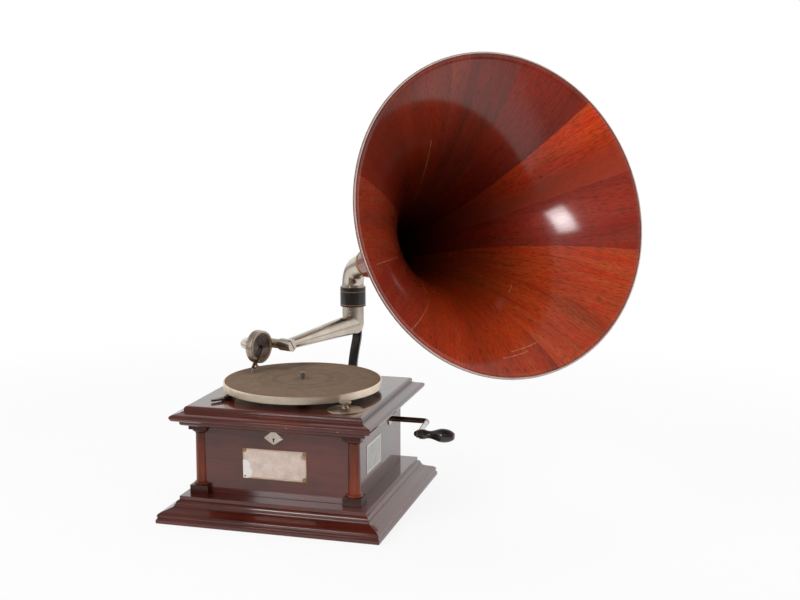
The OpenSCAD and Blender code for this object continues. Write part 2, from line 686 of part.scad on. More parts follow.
module crank() {
    bend = 8;
    color("silver") in_crank() difference() {
        union() {
            translate([cavity_right - 13, 0, 0]) rotate([0, 90, 0]) cylinder(r = 3.2, h = 14);
            translate([cavity_right - 1.8, 0, 0]) rotate([0, 90, 0])
                cylinder(r = crank_d / 2, h = crank_reach - bend - cavity_right + 1.8);
            translate([crank_reach - bend, -bend, 0]) rotate_extrude(angle = 90) translate([bend, 0])
                circle(r = crank_d / 2, $fn = 32);
            translate([crank_reach, -bend, 0]) rotate([90, 0, 0])
                cylinder(r1 = crank_d / 2, r2 = crank_d / 2 - 0.9, h = crank_throw - bend - 4);
            translate([crank_reach - eye_half, -crank_throw, 0]) rotate([0, 90, 0]) cylinder(r = 6.2, h = 2 * eye_half);
        }
        for (s = [-1, 1]) translate([crank_reach + s * (eye_half + 5), -crank_throw, 0])
            cube([10, handle_d - 3, 20], center = true);
        translate([crank_reach - 6, -crank_throw, 0]) rotate([0, 90, 0]) cylinder(r = 2.5 + fit_gap, h = 12);
    }
}

// A turned shape between knots of radius and height, eased so that it has no corners
function turned(knots, n) = [for (k = [0:len(knots) - 2], i = [0:n - 1])
    let (t = (1 - cos(180 * i / n)) / 2)
    [knots[k][0] + (knots[k + 1][0] - knots[k][0]) * t,
        knots[k][1] + (knots[k + 1][1] - knots[k][1]) * i / n]];

module crank_handle() {
    r = handle_d / 2;
    l = handle_l;
    color([0.1, 0.1, 0.1]) in_crank() translate([crank_reach + eye_half + pass_gap, -crank_throw, 0])
        rotate([0, 90, 0]) difference() {
            rotate_extrude($fn = 48) polygon(concat([[0, 0], [r - 4, 0], [r - 3.4, 0.8]],
                turned([[r - 3.2, 1.5], [r - 3.2, 7], [r - 5, 15]], 4), turned([[r - 5, 15.5], [r, 38]], 8),
                [for (turn = [0:8:64]) [r * cos(turn), 38 + (l - 38) / sin(64) * sin(turn)]], [[0, l]]));
            translate([0, 0, -1]) cylinder(r = 2.5 + fit_gap, h = l + 2);
            translate([0, 0, l - 2]) cylinder(r = 4 + fit_gap, h = 4);
        }
}

module handle_pin() {
    color("sienna") in_crank() translate([crank_reach, -crank_throw, 0]) rotate([0, 90, 0]) {
        translate([0, 0, -eye_half]) cylinder(r = 2.5, h = handle_l + 2 * eye_half + pass_gap - 1.2);
        translate([0, 0, -eye_half]) mirror([0, 0, 1]) rotate_extrude($fn = 32)
            polygon(concat([[0, 0], [4.6, 0]], [for (turn = [0:15:75]) [4.6 * cos(turn), 1.4 + 3.6 * sin(turn)]],
                [[0, 5]]));
        translate([0, 0, eye_half + pass_gap + handle_l - 1.7]) cylinder(r = 3.6, h = 1.7);
    }
}

module intermediate_arbor() {
    color("silver") {
        translate([idler_pos[0], idler_pos[1], lower_top - plate_t + 1])
            cylinder(r = idler_r, h = motor_h + plate_t + 1.8);
        gear_at(idler_pos, barrel_gear_z - 1, barrel_gear_t + 2, pinion_teeth, barrel_module,
            heading(idler_pos, barrel_pos) + 180 / pinion_teeth);
    }
}

module intermediate_gear() {
    color("goldenrod") difference() {
        union() {
            gear_at(idler_pos, idler_gear_z + 2, idler_gear_t - 4, idler_teeth, spindle_module,
                heading(idler_pos, spindle_pos));
            translate([idler_pos[0], idler_pos[1], idler_gear_z]) cylinder(r = 8, h = idler_gear_t);
        }
        translate([idler_pos[0], idler_pos[1], 0]) {
            translate([0, 0, idler_gear_z - 1]) cylinder(r = idler_r + fit_gap, h = 20);
            for (a = [0:60:300]) rotate([0, 0, a]) translate([21, 0, idler_gear_z]) cylinder(r = 7, h = 20);
        }
    }
}

// Record spindle with its drive pinion, the shoulder under the turntable and a rounded head
module spindle() {
    table_z = top_z + table_gap;
    color("silver") {
        translate([spindle_pos[0], spindle_pos[1], 0]) {
            translate([0, 0, lower_top - plate_t + 1])
                cylinder(r = core_r, h = felt_top - lower_top + plate_t - 1);
            translate([0, 0, felt_top - 1]) cylinder(r = spindle_r, h = spindle_up);
            translate([0, 0, felt_top + spindle_up - 1]) cylinder(r1 = spindle_r, r2 = spindle_r - 1.4, h = 1);
            translate([0, 0, board_under + 5.2]) cylinder(r = 6, h = table_z + 2.5 - board_under - 5.2);
        }
        gear_at(spindle_pos, idler_gear_z - 1, idler_gear_t + 2, pinion_teeth, spindle_module,
            heading(spindle_pos, idler_pos) + 180 / pinion_teeth);
    }
}

// Screw gear on the spindle that drives the governor worm
module governor_wheel() {
    face = 9;
    mod = worm_module / cos(worm_lead_angle);
    twist = face * tan(worm_lead_angle) / wheel_r * 180 / PI;
    points = [[wheel_r - 1.15 * worm_module, 1], [wheel_r, 0], [wheel_r + 0.8 * worm_module, -1]];
    half = 90 / wheel_teeth - 0.09 / wheel_r * 180 / PI;
    lean = worm_module * tan(22) / wheel_r * 180 / PI;
    color("goldenrod") translate([spindle_pos[0], spindle_pos[1], governor_z]) difference() {
        union() {
            rotate([0, 0, -90]) linear_extrude(face, center = true, twist = -twist, slices = 2)
                polygon([for (t = [0:wheel_teeth - 1]) each concat(
                    [for (p = points) p[0] * [cos(360 * t / wheel_teeth - half - p[1] * lean),
                        sin(360 * t / wheel_teeth - half - p[1] * lean)]],
                    [for (i = [2:-1:0]) points[i][0] * [cos(360 * t / wheel_teeth + half + points[i][1] * lean),
                        sin(360 * t / wheel_teeth + half + points[i][1] * lean)]])]);
            translate([0, 0, -7]) cylinder(r = 8, h = 14);
        }
        translate([0, 0, -10]) cylinder(r = core_r + fit_gap, h = 20);
        for (a = [0:60:300]) rotate([0, 0, a]) translate([17, 0, -10]) cylinder(r = 5.5, h = 20);
    }
}

module in_governor() {
    translate([0, governor_y, governor_z]) rotate([0, 90, 0]) children();
}

module governor_shaft() {
    lead = 2 * PI * worm_r * tan(worm_lead_angle);
    length = 14;
    half = 90 / worm_starts - 0.1 / lead * 360;
    lean = worm_module * tan(22) / lead * 360;
    points = [[worm_r - 1.15 * worm_module, 1], [worm_r, 0], [worm_r + 0.8 * worm_module, -1]];
    color("silver") in_governor() {
        translate([0, 0, bearing_x[0] + 1]) cylinder(r = 1.5, h = bearing_x[1] - bearing_x[0] - 2);
        translate([0, 0, bearing_x[0] + 3.3]) cylinder(r = governor_r, h = bearing_x[1] - bearing_x[0] - 6.6);
        translate([0, 0, 17]) cylinder(r = 5, h = 8);
        rotate([0, 0, worm_phase]) linear_extrude(length, center = true, twist = -360 * length / lead, slices = 22)
            polygon([for (s = [0:worm_starts - 1]) each concat(
                [for (p = points) p[0] * [cos(360 * s / worm_starts - half - p[1] * lean),
                    sin(360 * s / worm_starts - half - p[1] * lean)]],
                [for (i = [2:-1:0]) points[i][0] * [cos(360 * s / worm_starts + half + points[i][1] * lean),
                    sin(360 * s / worm_starts + half + points[i][1] * lean)]])]);
    }
}

module governor_weights() {
    color("gray") in_governor() for (a = [60:120:300]) rotate([0, 0, a]) translate([7.4, 0, weight_x])
        rotate([0, 90, 0]) cylinder(r = 4.5, h = 4.5);
}

module governor_springs() {
    path = [[5.2, 18], [5.2, 24], [7.2, 32], [7.2, 44], [5.2, 52], [5.2, 58]];
    color("slategray") in_governor() for (a = [60:120:300]) rotate([0, 0, a]) translate([0, 1.8, 0])
        rotate([90, 0, 0]) linear_extrude(3.6) polygon(concat([for (p = path) p + [0.2, 0]],
            [for (i = [5:-1:0]) path[i] - [0.2, 0]]));
}

module governor_disc() {
    color("goldenrod") in_governor() difference() {
        union() {
            translate([0, 0, 52]) cylinder(r = 5, h = 7.5);
            translate([0, 0, disc_x - 1]) cylinder(r = 12.5, h = 2);
        }
        translate([0, 0, 50]) cylinder(r = governor_r + fit_gap, h = 20);
    }
}

module governor_bearings() {
    color("goldenrod") for (x = bearing_x) difference() {
        union() {
            box_at(x - 3, x + 3, governor_y - 5, governor_y + 5, governor_z - 5, motor_top);
            translate([x, governor_y, motor_top]) cylinder(r = 1.6, h = 2.9);
        }
        translate([x - 5, governor_y, governor_z]) rotate([0, 90, 0]) cylinder(r = 1.5 + fit_gap, h = 10);
    }
}

// Lever between the cam under the speed knob and the governor disc, with a felt pad at its end
module speed_lever() {
    low = motor_top - 7;
    pad_x = disc_x + 1.9;
    cam_side = [dial_pos[0] - 8.3, dial_pos[1]];
    color("silver") difference() {
        union() {
            for (p = [[pad_x + 3, governor_y - 1], cam_side]) hull() {
                translate([lever_pivot[0], lever_pivot[1], low]) cylinder(r = 5, h = 3.7, $fn = 32);
                translate([p[0], p[1], low]) cylinder(r = 3, h = 3.7, $fn = 32);
            }
            box_at(pad_x, pad_x + 4, governor_y - 4, governor_y + 3, governor_z + governor_r + 0.5, low + 1);
        }
        translate([lever_pivot[0], lever_pivot[1], low - 1]) cylinder(r = 2 + fit_gap, h = 8);
    }
}

module speed_dial() {
    color("silver") translate([dial_pos[0], dial_pos[1], top_z]) difference() {
        rotate_extrude() polygon([[0, 0], [dial_d / 2 - 0.3, 0], [dial_d / 2, 0.5], [dial_d / 2 - 0.4, 1.2],
            [dial_d / 2 - 4, 1.7], [9, dial_t], [0, dial_t]]);
        translate([0, 0, -1]) cylinder(r = 4 + fit_gap, h = 10);
    }
}

// Knob, its shaft through the board and the eccentric cam that moves the lever
module speed_knob() {
    r = knob_d / 2;
    color("silver") translate([dial_pos[0], dial_pos[1], 0]) {
        translate([0, 0, motor_top - 6.9]) cylinder(r = 4, h = top_z + dial_t - motor_top + 7.9);
        translate([0, 1.2, motor_top - 6.9]) cylinder(r = 5.15, h = 5);
        translate([0, 0, top_z + dial_t]) rotate_extrude($fn = 48) polygon(concat([[0, 0.1], [5.4, 0.1]],
            turned([[5.6, 0.8], [3.9, 3.6], [4.4, knob_h - 4.6], [r - 0.6, knob_h - 3.2]], 4),
            [[r, knob_h - 2.6], [r, knob_h - 1], [r - 0.9, knob_h - 0.2], [3, knob_h], [0, knob_h]]));
    }
}

module brake_bracket() {
    color("silver") translate([brake_pos[0], brake_pos[1], 0]) {
        translate([0, 0, top_z]) cylinder(r = 8, h = 1.6);
        translate([0, 0, top_z - 9.5]) cylinder(r = brake_pin_r, h = 9.5 + 5.4);
        translate([0, 0, top_z + 5]) cylinder(r = 4, h = 1.4);
    }
}

pad_at = -140.97;
pad_pos = spindle_pos + (table_d / 2 - 7.92) * [cos(pad_at), sin(pad_at)];
pad_r = 4.8;
module brake_lever() {
    low = top_z + 1.9;
    color("silver") difference() {
        union() for (p = [[pad_pos[0], pad_pos[1], 5.6], [brake_pos[0] - 15, brake_pos[1] - 20, 2.4]]) hull() {
            translate([brake_pos[0], brake_pos[1], low]) cylinder(r = 6, h = 2.8, $fn = 32);
            translate([p[0], p[1], low]) cylinder(r = p[2], h = 2.8, $fn = 32);
        }
        translate([brake_pos[0], brake_pos[1], low - 1]) cylinder(r = brake_pin_r + fit_gap, h = 5);
    }
}

module brake_pad() {
    color("peru") translate([pad_pos[0], pad_pos[1], top_z + 4.7]) cylinder(r = pad_r, h = 7.5);
}

module turntable() {
    r = table_d / 2;
    low = top_z + table_gap;
    high = low + table_rim_h;
    color("gainsboro") translate([spindle_pos[0], spindle_pos[1], 0]) rotate_extrude($fn = 128)
        polygon([[core_r + fit_gap, low + 2.5], [13, low + 2.5], [14, high - 4], [r - 2, high - 4],
            [r - 2, low + 0.6], [r - 1.4, low], [r - 0.5, low], [r, low + 0.6], [r, high - 1.2], [r - 0.6, high],
            [r - 2, high], [r - 2, high - 0.5], [core_r + fit_gap, high - 0.5]]);
}

module turntable_felt() {
    color("rosybrown") translate([spindle_pos[0], spindle_pos[1], felt_top - felt_t]) difference() {
        rotate_extrude($fn = 128) polygon([[0, 0], [table_d / 2 - 2.1, 0], [table_d / 2 - 2.1, felt_t - 0.3],
            [table_d / 2 - 2.5, felt_t], [0, felt_t]]);
        translate([0, 0, -1]) cylinder(r = core_r + 0.2, h = 5);
    }
}

// Tone arm: pipe in the collar, round elbow, long taper and the cross tube of the flip hinge
module tone_arm() {
    r = pipe_d / 2;
    tip_r = arm_tip_d / 2;
    cross_r = neck_d / 2 + 2.3;
    length = norm([arm_l, arm_z - hinge_z]);
    color("silver") in_arm() difference() {
        union() {
            upright(r, arm_z, ledge_z + 3);
            translate([0, 0, ledge_z]) cylinder(r = sleeve_r, h = 3);
            translate([0, 0, arm_z + 0.4]) rotate([90 + hinge_tilt, 0, 0])
                cylinder(r1 = r - 0.3, r2 = tip_r, h = length);
            translate([-11, -arm_l, hinge_z]) rotate([0, 90, 0]) cylinder(r = cross_r, h = 22.5);
        }
        upright(r - pipe_wall, arm_z, ledge_z + 5);
        translate([0, 0, arm_z + 0.4]) rotate([90 + hinge_tilt, 0, 0])
            cylinder(r1 = r - 0.3 - pipe_wall, r2 = tip_r - pipe_wall, h = length);
        translate([-12, -arm_l, hinge_z]) rotate([0, 90, 0]) cylinder(r = neck_d / 2 + fit_gap, h = 20.5);
        translate([9.8, -arm_l, hinge_z]) rotate([35, 0, 0]) cube([6, 1.6, 30], center = true);
    }
}

// Upright pipe with a domed lower end, as one turned shape
module upright(r, low, high) {
    rotate_extrude() polygon(concat([for (i = [0:12]) [r * sin(90 * i / 12), low - r * cos(90 * i / 12)]],
        [[r, high], [0, high]]));
}

// Gooseneck: turns in the cross tube, bends back on itself and carries the sound box
module gooseneck() {
    r = neck_d / 2;
    bend_x = -51.6;
    color("silver") in_arm() translate([0, -arm_l, hinge_z]) difference() {
        union() {
            translate([bend_x, 0, 0]) rotate([0, 90, 0]) cylinder(r = r, h = 8 - bend_x);
            translate([-13.2, 0, 0]) rotate([0, 90, 0]) cylinder(r = r + 1.8, h = 2);
            translate([bend_x, -neck_bend, 0]) rotate([0, 0, 90]) rotate_extrude(angle = 180)
                translate([neck_bend, 0]) circle(r = r, $fn = 48);
            translate([bend_x, -2 * neck_bend, 0]) rotate([0, 90, 0]) cylinder(r = r, h = box_x - 7.5 - bend_x);
        }
        translate([bend_x, 0, 0]) rotate([0, 90, 0]) cylinder(r = r - pipe_wall, h = 10 - bend_x);
        translate([bend_x, -neck_bend, 0]) rotate([0, 0, 90]) rotate_extrude(angle = 180)
            translate([neck_bend, 0]) circle(r = r - pipe_wall, $fn = 48);
        translate([bend_x, -2 * neck_bend, 0]) rotate([0, 90, 0]) cylinder(r = r - pipe_wall, h = 40);
        translate([-neck_d / 2, -4, -r - 3]) cube([neck_d, 8, 6]);
    }
}

module soundbox_back() {
    color("silver") in_box() rotate([0, 90, 0]) difference() {
        union() {
            translate([0, 0, -box_t / 2]) cylinder(r = box_d / 2 - 2.6, h = 3);
            translate([0, 0, -box_t / 2 - 9]) cylinder(r = neck_d / 2 + 2.6, h = 9.5);
            translate([0, 0, -box_t / 2 - 1.2]) cylinder(r = neck_d / 2 + 5.5, h = 1.5);
        }
        translate([0, 0, -box_t / 2 - 10]) cylinder(r = neck_d / 2 + fit_gap, h = 9);
        translate([0, 0, -box_t / 2 - 10]) cylinder(r = 4, h = 20);
    }
}

module soundbox_ring() {
    r = box_d / 2;
    h = box_t / 2;
    color("gainsboro") in_box() rotate([0, 90, 0]) rotate_extrude($fn = 96) polygon([
        [r - 2.55, -h], [r - 0.8, -h], [r, -h + 0.8], [r, h - 1.2], [r - 1.2, h], [r - 4, h], [r - 5.8, h - 1.2],
        [r - 5.8, h - 2], [r - 2.55, h - 2]]);
}

module diaphragm() {
    color([0.3, 0.28, 0.25]) in_box() rotate([0, 90, 0]) translate([0, 0, box_t / 2 - 2.5])
        cylinder(r = box_d / 2 - 2.6, h = 0.5);
}

// Everything on the needle line hangs in a frame whose -Z points along the needle
module on_needle() {
    in_box() rotate([-needle_angle, 0, 0]) translate([box_t / 2 - 1.5, 0, 0]) children();
}

module needle_bar() {
    edge = box_d / 2;
    color("silver") on_needle() difference() {
        union() {
            translate([-0.5, 0, 0]) rotate([0, 90, 0]) cylinder(r = 3, h = 3.4);
            box_at(1.8, 3.4, -1.3, 1.3, -edge - 3, 0);
            translate([0, 0, -edge - 11]) cylinder(r = 3.6, h = 10.4);
            translate([0, 0, -edge - 3.5]) rotate([0, 90, 0]) cylinder(r = 2.4, h = 3.4);
        }
        translate([0, 0, -edge - 12]) cylinder(r = 0.8 + fit_gap, h = 10);
        translate([0, 0, -edge - 8]) rotate([0, 90, 0]) cylinder(r = 1.3 + fit_gap, h = 6);
    }
}

module needle_screw() {
    color("silver") on_needle() translate([0, 0, -box_d / 2 - 8]) rotate([0, 90, 0]) {
        translate([0, 0, 0.9]) cylinder(r = 1.3, h = 5);
        translate([0, 0, 4.4]) cylinder(r = 3.6, h = 2.6, $fn = 24);
    }
}

module needle() {
    reach = (hinge_up - pass_gap) / cos(needle_angle);
    color("silver") on_needle() {
        translate([0, 0, -reach]) cylinder(r1 = 0.12, r2 = 0.8, h = 5, $fn = 24);
        translate([0, 0, -reach + 5]) cylinder(r = 0.8, h = reach - 5 - box_d / 2 - 2.5, $fn = 24);
    }
}

// Elbow of the horn: sleeve in the collar, shoulder on the collar's rim, bend and straight pipe
module horn_elbow() {
    turn = 90 - horn_tilt;
    collar_top = collar_z + collar_h;
    bend_r = (elbow_z - collar_top - 3) / tan(turn / 2);
    reach = bend_r * tan(turn / 2);
    module run(pipe_r, bend_pipe_r, low, high) {
        translate([collar_x, collar_y, 0]) rotate([0, 0, horn_heading - 90]) {
            translate([0, 0, low]) cylinder(r = pipe_r, h = elbow_z - reach + 1 - low);
            translate([bend_r, 0, elbow_z - reach]) rotate([90, 0, 0]) rotate([0, 0, 180 - turn])
                rotate_extrude(angle = turn) translate([bend_r, 0]) circle(r = bend_pipe_r);
        }
        in_horn() translate([0, 0, reach - 1]) cylinder(r = pipe_r, h = high + 1 - reach);
    }
    color("gainsboro") difference() {
        union() {
            run(elbow_r, elbow_r - 0.3, collar_top + 1, throat_x + 20);
            in_horn() translate([0, 0, reach]) cylinder(r1 = elbow_r - 0.1, r2 = elbow_r + 3.4,
                h = throat_x - 5 - fit_gap - reach);
            translate([collar_x, collar_y, ledge_z + 3 + pass_gap])
                cylinder(r = sleeve_r, h = collar_top - ledge_z - 3);
            translate([collar_x, collar_y, collar_top]) cylinder(r = elbow_r + 2.1, h = 1.6);
        }
        run(elbow_r - pipe_wall, elbow_r - 0.5 - pipe_wall, collar_z, throat_x + 21);
    }
}

module horn_ferrule() {
    r = elbow_r + fit_gap;
    color("silver") in_horn() rotate_extrude() polygon([[r, throat_x - 5], [throat_r + 3.5, throat_x - 5],
        [throat_r + 4.3, throat_x - 4], [throat_r + 4.3, throat_x - 1.5], [throat_r + 3.6, throat_x],
        [throat_r - fit_gap, throat_x], [throat_r - fit_gap, throat_x + 15], [r, throat_x + 15]]);
}

// The flare grows exponentially from the throat to the bell; the wall is set off square to it
edge_r = bell_r - bead_d / 2 - 0.9;
edge_x = horn_l - bead_d / 2 + 0.6;
function flare(t) = throat_r + (edge_r - throat_r) * (exp(flare_k * t) - 1) / (exp(flare_k) - 1);
function flare_slope(t) =
    (edge_r - throat_r) * flare_k * exp(flare_k * t) / (exp(flare_k) - 1) / (edge_x - throat_x);
function horn_inside(t) = [flare(t), throat_x + (edge_x - throat_x) * t];
function horn_outside(t) =
    horn_inside(t) + horn_wall * [1, -flare_slope(t)] / norm([1, flare_slope(t)]);

module horn_section() {
    polygon(concat([for (i = [0:flare_steps]) horn_inside(i / flare_steps)],
        [for (i = [flare_steps:-1:1]) horn_outside(i / flare_steps)],
        [[throat_r + horn_wall, throat_x + 2], [throat_r + horn_wall - 0.6, throat_x]]));
}

module horn() {
    color("firebrick") in_horn() rotate_extrude($fn = 128) horn_section();
}

// Rolled metal bead that wraps the edge of the bell
module horn_rim() {
    edge = (horn_inside(1) + horn_outside(1)) / 2;
    turns = [for (i = [0:15]) 22.5 * i];
    color("silver") in_horn() rotate_extrude($fn = 128) difference() {
        translate(edge + 0.4 * [flare_slope(1), 1])
            polygon([for (turn = turns) (bead_d / 2 + 0.4) * [cos(turn), sin(turn)]]);
        horn_section();
    }
}

base_frame();
bottom_board();
case_body();
column_left();
column_right();
cornice();
top_board();
escutcheon();
escutcheon_screws();
lock();
name_plate();
plate_screws();
side_label();
back_bracket();
bracket_screws();
crank_bush();
motor_plate();
motor_bolts();
lower_plate();
motor_pillars();
spring_barrel();
barrel_cover();
mainspring();
barrel_arbor();
ratchet_wheel();
ratchet_pawl();
contrate_wheel();
winding_shaft();
crank();
crank_handle();
handle_pin();
intermediate_arbor();
intermediate_gear();
spindle();
governor_wheel();
governor_shaft();
governor_weights();
governor_springs();
governor_disc();
governor_bearings();
speed_lever();
speed_dial();
speed_knob();
brake_bracket();
brake_lever();
brake_pad();
turntable();
turntable_felt();
tone_arm();
gooseneck();
soundbox_back();
soundbox_ring();
diaphragm();
needle_bar();
needle_screw();
needle();
horn_elbow();
horn_ferrule();
horn();
horn_rim();
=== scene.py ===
# Horn gramophone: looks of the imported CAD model, its camera, light and floor. Lengths are metres.
import math

import bmesh
import bpy
from mathutils import Matrix, Vector


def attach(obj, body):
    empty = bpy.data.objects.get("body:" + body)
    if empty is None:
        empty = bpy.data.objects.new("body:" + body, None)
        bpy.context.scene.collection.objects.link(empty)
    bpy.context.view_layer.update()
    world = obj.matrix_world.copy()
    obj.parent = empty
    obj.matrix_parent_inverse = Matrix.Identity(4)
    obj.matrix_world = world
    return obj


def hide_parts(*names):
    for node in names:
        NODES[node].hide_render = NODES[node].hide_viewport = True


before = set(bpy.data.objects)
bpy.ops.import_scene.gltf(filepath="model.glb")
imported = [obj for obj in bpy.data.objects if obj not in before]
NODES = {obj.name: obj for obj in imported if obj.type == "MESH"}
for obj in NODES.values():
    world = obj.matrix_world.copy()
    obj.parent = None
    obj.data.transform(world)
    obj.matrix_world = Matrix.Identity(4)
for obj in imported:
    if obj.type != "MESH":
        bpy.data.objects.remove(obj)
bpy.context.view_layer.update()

# Sizes repeated from the part's source
THROAT_CENTRE = Vector((0.008, 0.2425, 0.346))
HORN_HEADING = math.radians(41.8)
HORN_TILT = math.radians(15.1)
THROAT_R = 0.021
THROAT_X = 0.074
EDGE_R = 0.2266
EDGE_X = 0.5371
FLARE = 2.8
HORN_WALL = 0.004
ARM_HEADING = math.radians(18.0)
SPINDLE = Vector((0.0, -0.002, 0.200))
RECORD_R = 0.127
# The sound box: radius and half its thickness
BOX_R = 0.0273
BOX_HALF = 0.0065
# Heights of the collar's gilt lines, and where the crank's bend and eye lie from back to front
COLLAR_LINES = (0.2832, 0.3070)
CRANK_BEND_Y = 0.051
CRANK_EYE_Y = 0.005
# The rim's bead: its section's centre, and the direction round the section where a pale painted
# highlight line lies
BEAD_R = EDGE_R + 0.0017
BEAD_X = EDGE_X - 0.0012
BEAD_HIGHLIGHT_TURN = math.radians(80.0)
# The plate on the front and the label on the right side: lowest and highest corners
PLATE_X = (-0.0555, 0.048)
PLATE_Z = (0.067, 0.1145)
PLATE_FRONT_Y = -0.124
PLATE_SCREW_X = (-0.0523, 0.0448)
PLATE_SCREW_Z = (0.0702, 0.1113)
LABEL_Y = (-0.0695, 0.0065)
LABEL_Z = (0.0705, 0.1165)

# Directions of the horn: along its axis, sideways and up across its mouth
HORN_N = Vector((math.cos(HORN_TILT) * math.sin(HORN_HEADING),
                 -math.cos(HORN_TILT) * math.cos(HORN_HEADING), math.sin(HORN_TILT)))
HORN_SIDE = HORN_N.cross(Vector((0, 0, 1))).normalized()
HORN_TOP = HORN_SIDE.cross(HORN_N)
ARM_X = Vector((math.cos(ARM_HEADING), -math.sin(ARM_HEADING), 0))


def middle(name):
    """The centre of a node's bounding box."""
    corners = [NODES[name].matrix_world @ Vector(corner) for corner in NODES[name].bound_box]
    return sum(corners, Vector()) / len(corners)


BOX_CENTRE = middle("soundbox_ring")


def add_node(tree, kind, inputs=None, **settings):
    """A new node with its settings, and its inputs linked or filled in."""
    made = tree.nodes.new(kind)
    for key, value in settings.items():
        setattr(made, key, value)
    for key, value in (inputs or {}).items():
        if isinstance(value, bpy.types.NodeSocket):
            tree.links.new(value, made.inputs[key])
        else:
            made.inputs[key].default_value = value
    return made


def add_fade(tree, value, fade):
    """A soft step of a value: where it starts and ends, and the result before and after."""
    low, high, first, last = fade
    return add_node(tree, "ShaderNodeMapRange", {0: value, 1: low, 2: high, 3: first, 4: last},
                    interpolation_type="SMOOTHSTEP").outputs[0]


class Stuff:
    """A procedural material. Most calls add one node and give its output."""

    def __init__(self, name, **fixed):
        self.material = bpy.data.materials.new(name)
        self.material.use_nodes = True
        self.tree = self.material.node_tree
        self.shader = self.tree.nodes["Principled BSDF"]
        for socket, value in fixed.items():
            self.shader.inputs[socket.replace("_", " ")].default_value = value
        self.where = self.node("ShaderNodeTexCoord").outputs["Object"]

    def node(self, kind, inputs=None, **settings):
        return add_node(self.tree, kind, inputs, **settings)

    def calc(self, kind, a, b=0.0, clamp=False):
        """A math node of any kind on one or two numbers."""
        return self.node("ShaderNodeMath", {0: a, 1: b}, operation=kind, use_clamp=clamp).outputs[0]

    def plus(self, a, b):
        return self.calc("ADD", a, b)

    def minus(self, a, b):
        return self.calc("SUBTRACT", a, b)

    def times(self, a, b):
        return self.calc("MULTIPLY", a, b)

    def hypot(self, a, b):
        return self.calc("SQRT", self.plus(self.times(a, a), self.times(b, b)))

    def vec(self, kind, a, b=(0, 0, 0)):
        """A vector math node of any kind."""
        made = self.node("ShaderNodeVectorMath", {0: a, 1: b}, operation=kind)
        return made.outputs["Value" if kind in ("DOT_PRODUCT", "LENGTH", "DISTANCE") else "Vector"]

    def joined(self, x=0.0, y=0.0, z=0.0):
        return self.node("ShaderNodeCombineXYZ", {0: x, 1: y, 2: z}).outputs[0]

    def parts(self, at):
        return self.node("ShaderNodeSeparateXYZ", {0: at}).outputs

    def scaled(self, at, scale):
        return self.node("ShaderNodeMapping", {"Vector": at, "Scale": scale}).outputs[0]

    def noise(self, at, scale=5.0, detail=3.0, rough=0.5, bend=0.0):
        return self.node("ShaderNodeTexNoise", {"Vector": at, "Scale": scale, "Detail": detail,
                                                "Roughness": rough, "Distortion": bend}).outputs[0]

    def steps(self, share, stops, kind="LINEAR"):
        """A colour ramp. Each stop is (position, grey or colour)."""
        made = self.node("ShaderNodeValToRGB", {0: share})
        ramp = made.color_ramp
        ramp.interpolation = kind
        while len(ramp.elements) < len(stops):
            ramp.elements.new(0.5)
        for element, (place, tone) in zip(ramp.elements, stops):
            element.position = place
            element.color = (tone, tone, tone, 1) if isinstance(tone, (int, float)) else (*tone, 1)
        return made.outputs[0]

    def rise(self, share, low, high):
        """0 up to low, 1 from high on."""
        return self.steps(share, [(low, 0.0), (high, 1.0)])

    def fall(self, share, low, high):
        """1 up to low, 0 from high on."""
        return self.steps(share, [(low, 1.0), (high, 0.0)])

    def mix(self, share, a, b, kind="MIX"):
        def tone(value):
            return (*value, 1) if isinstance(value, tuple) and len(value) == 3 else value

        made = self.node("ShaderNodeMix", {0: share, 6: tone(a), 7: tone(b)}, data_type="RGBA",
                         blend_type=kind)
        return made.outputs[2]

    def near(self, at, places, size):
        """1 at the given places, falling to 0 at that distance."""
        found = None
        for place in places:
            gap = self.vec("DISTANCE", at, place)
            spot = self.calc("SUBTRACT", 1.0, self.calc("DIVIDE", gap, size), clamp=True)
            found = spot if found is None else self.calc("MAXIMUM", found, spot)
        return found

    def done(self, colour, rough=None, height=None, depth=0.0002, strength=0.5, **more):
        """Joins the colour, roughness, bump and other varying inputs to the shader."""
        sockets = {"Base Color": colour, "Roughness": rough}
        sockets.update({name.replace("_", " "): value for name, value in more.items()})
        for socket, value in sockets.items():
            if value is not None:
                self.tree.links.new(value, self.shader.inputs[socket])
        if height is not None:
            bump = self.node("ShaderNodeBump", {"Height": height, "Strength": strength,
                                                "Distance": depth})
            self.tree.links.new(bump.outputs[0], self.shader.inputs["Normal"])
        return self.material


def rgb(r, g, b):
    """A colour as a screen shows it, 0 to 255, as Blender's linear colour."""
    shares = (r / 255, g / 255, b / 255)
    return tuple(((c + 0.055) / 1.055) ** 2.4 if c > 0.04 else c / 12.92 for c in shares)


# Tone of the columns' square blocks, and how far the grain of boards and of columns is drawn out
BLOCK_TONE = rgb(62, 27, 19)
GRAIN_SHRINK = 0.06
COLUMN_SHRINK = 0.07


def along_the_piece(stuff):
    """Coordinates with the grain along X on faces that look front, back or up and along Y on the
    sides, shrunk along the grain."""
    x, y, z = stuff.parts(stuff.where)
    normal = stuff.parts(stuff.node("ShaderNodeTexCoord").outputs["Normal"])
    sideways = stuff.calc("GREATER_THAN", stuff.calc("ABSOLUTE", normal[0]),
                          stuff.calc("ABSOLUTE", normal[1]))
    wide = stuff.joined(stuff.times(x, GRAIN_SHRINK), y, z)
    deep = stuff.joined(stuff.times(y, GRAIN_SHRINK), stuff.plus(x, 3.0), z)
    return stuff.mix(sideways, wide, deep)


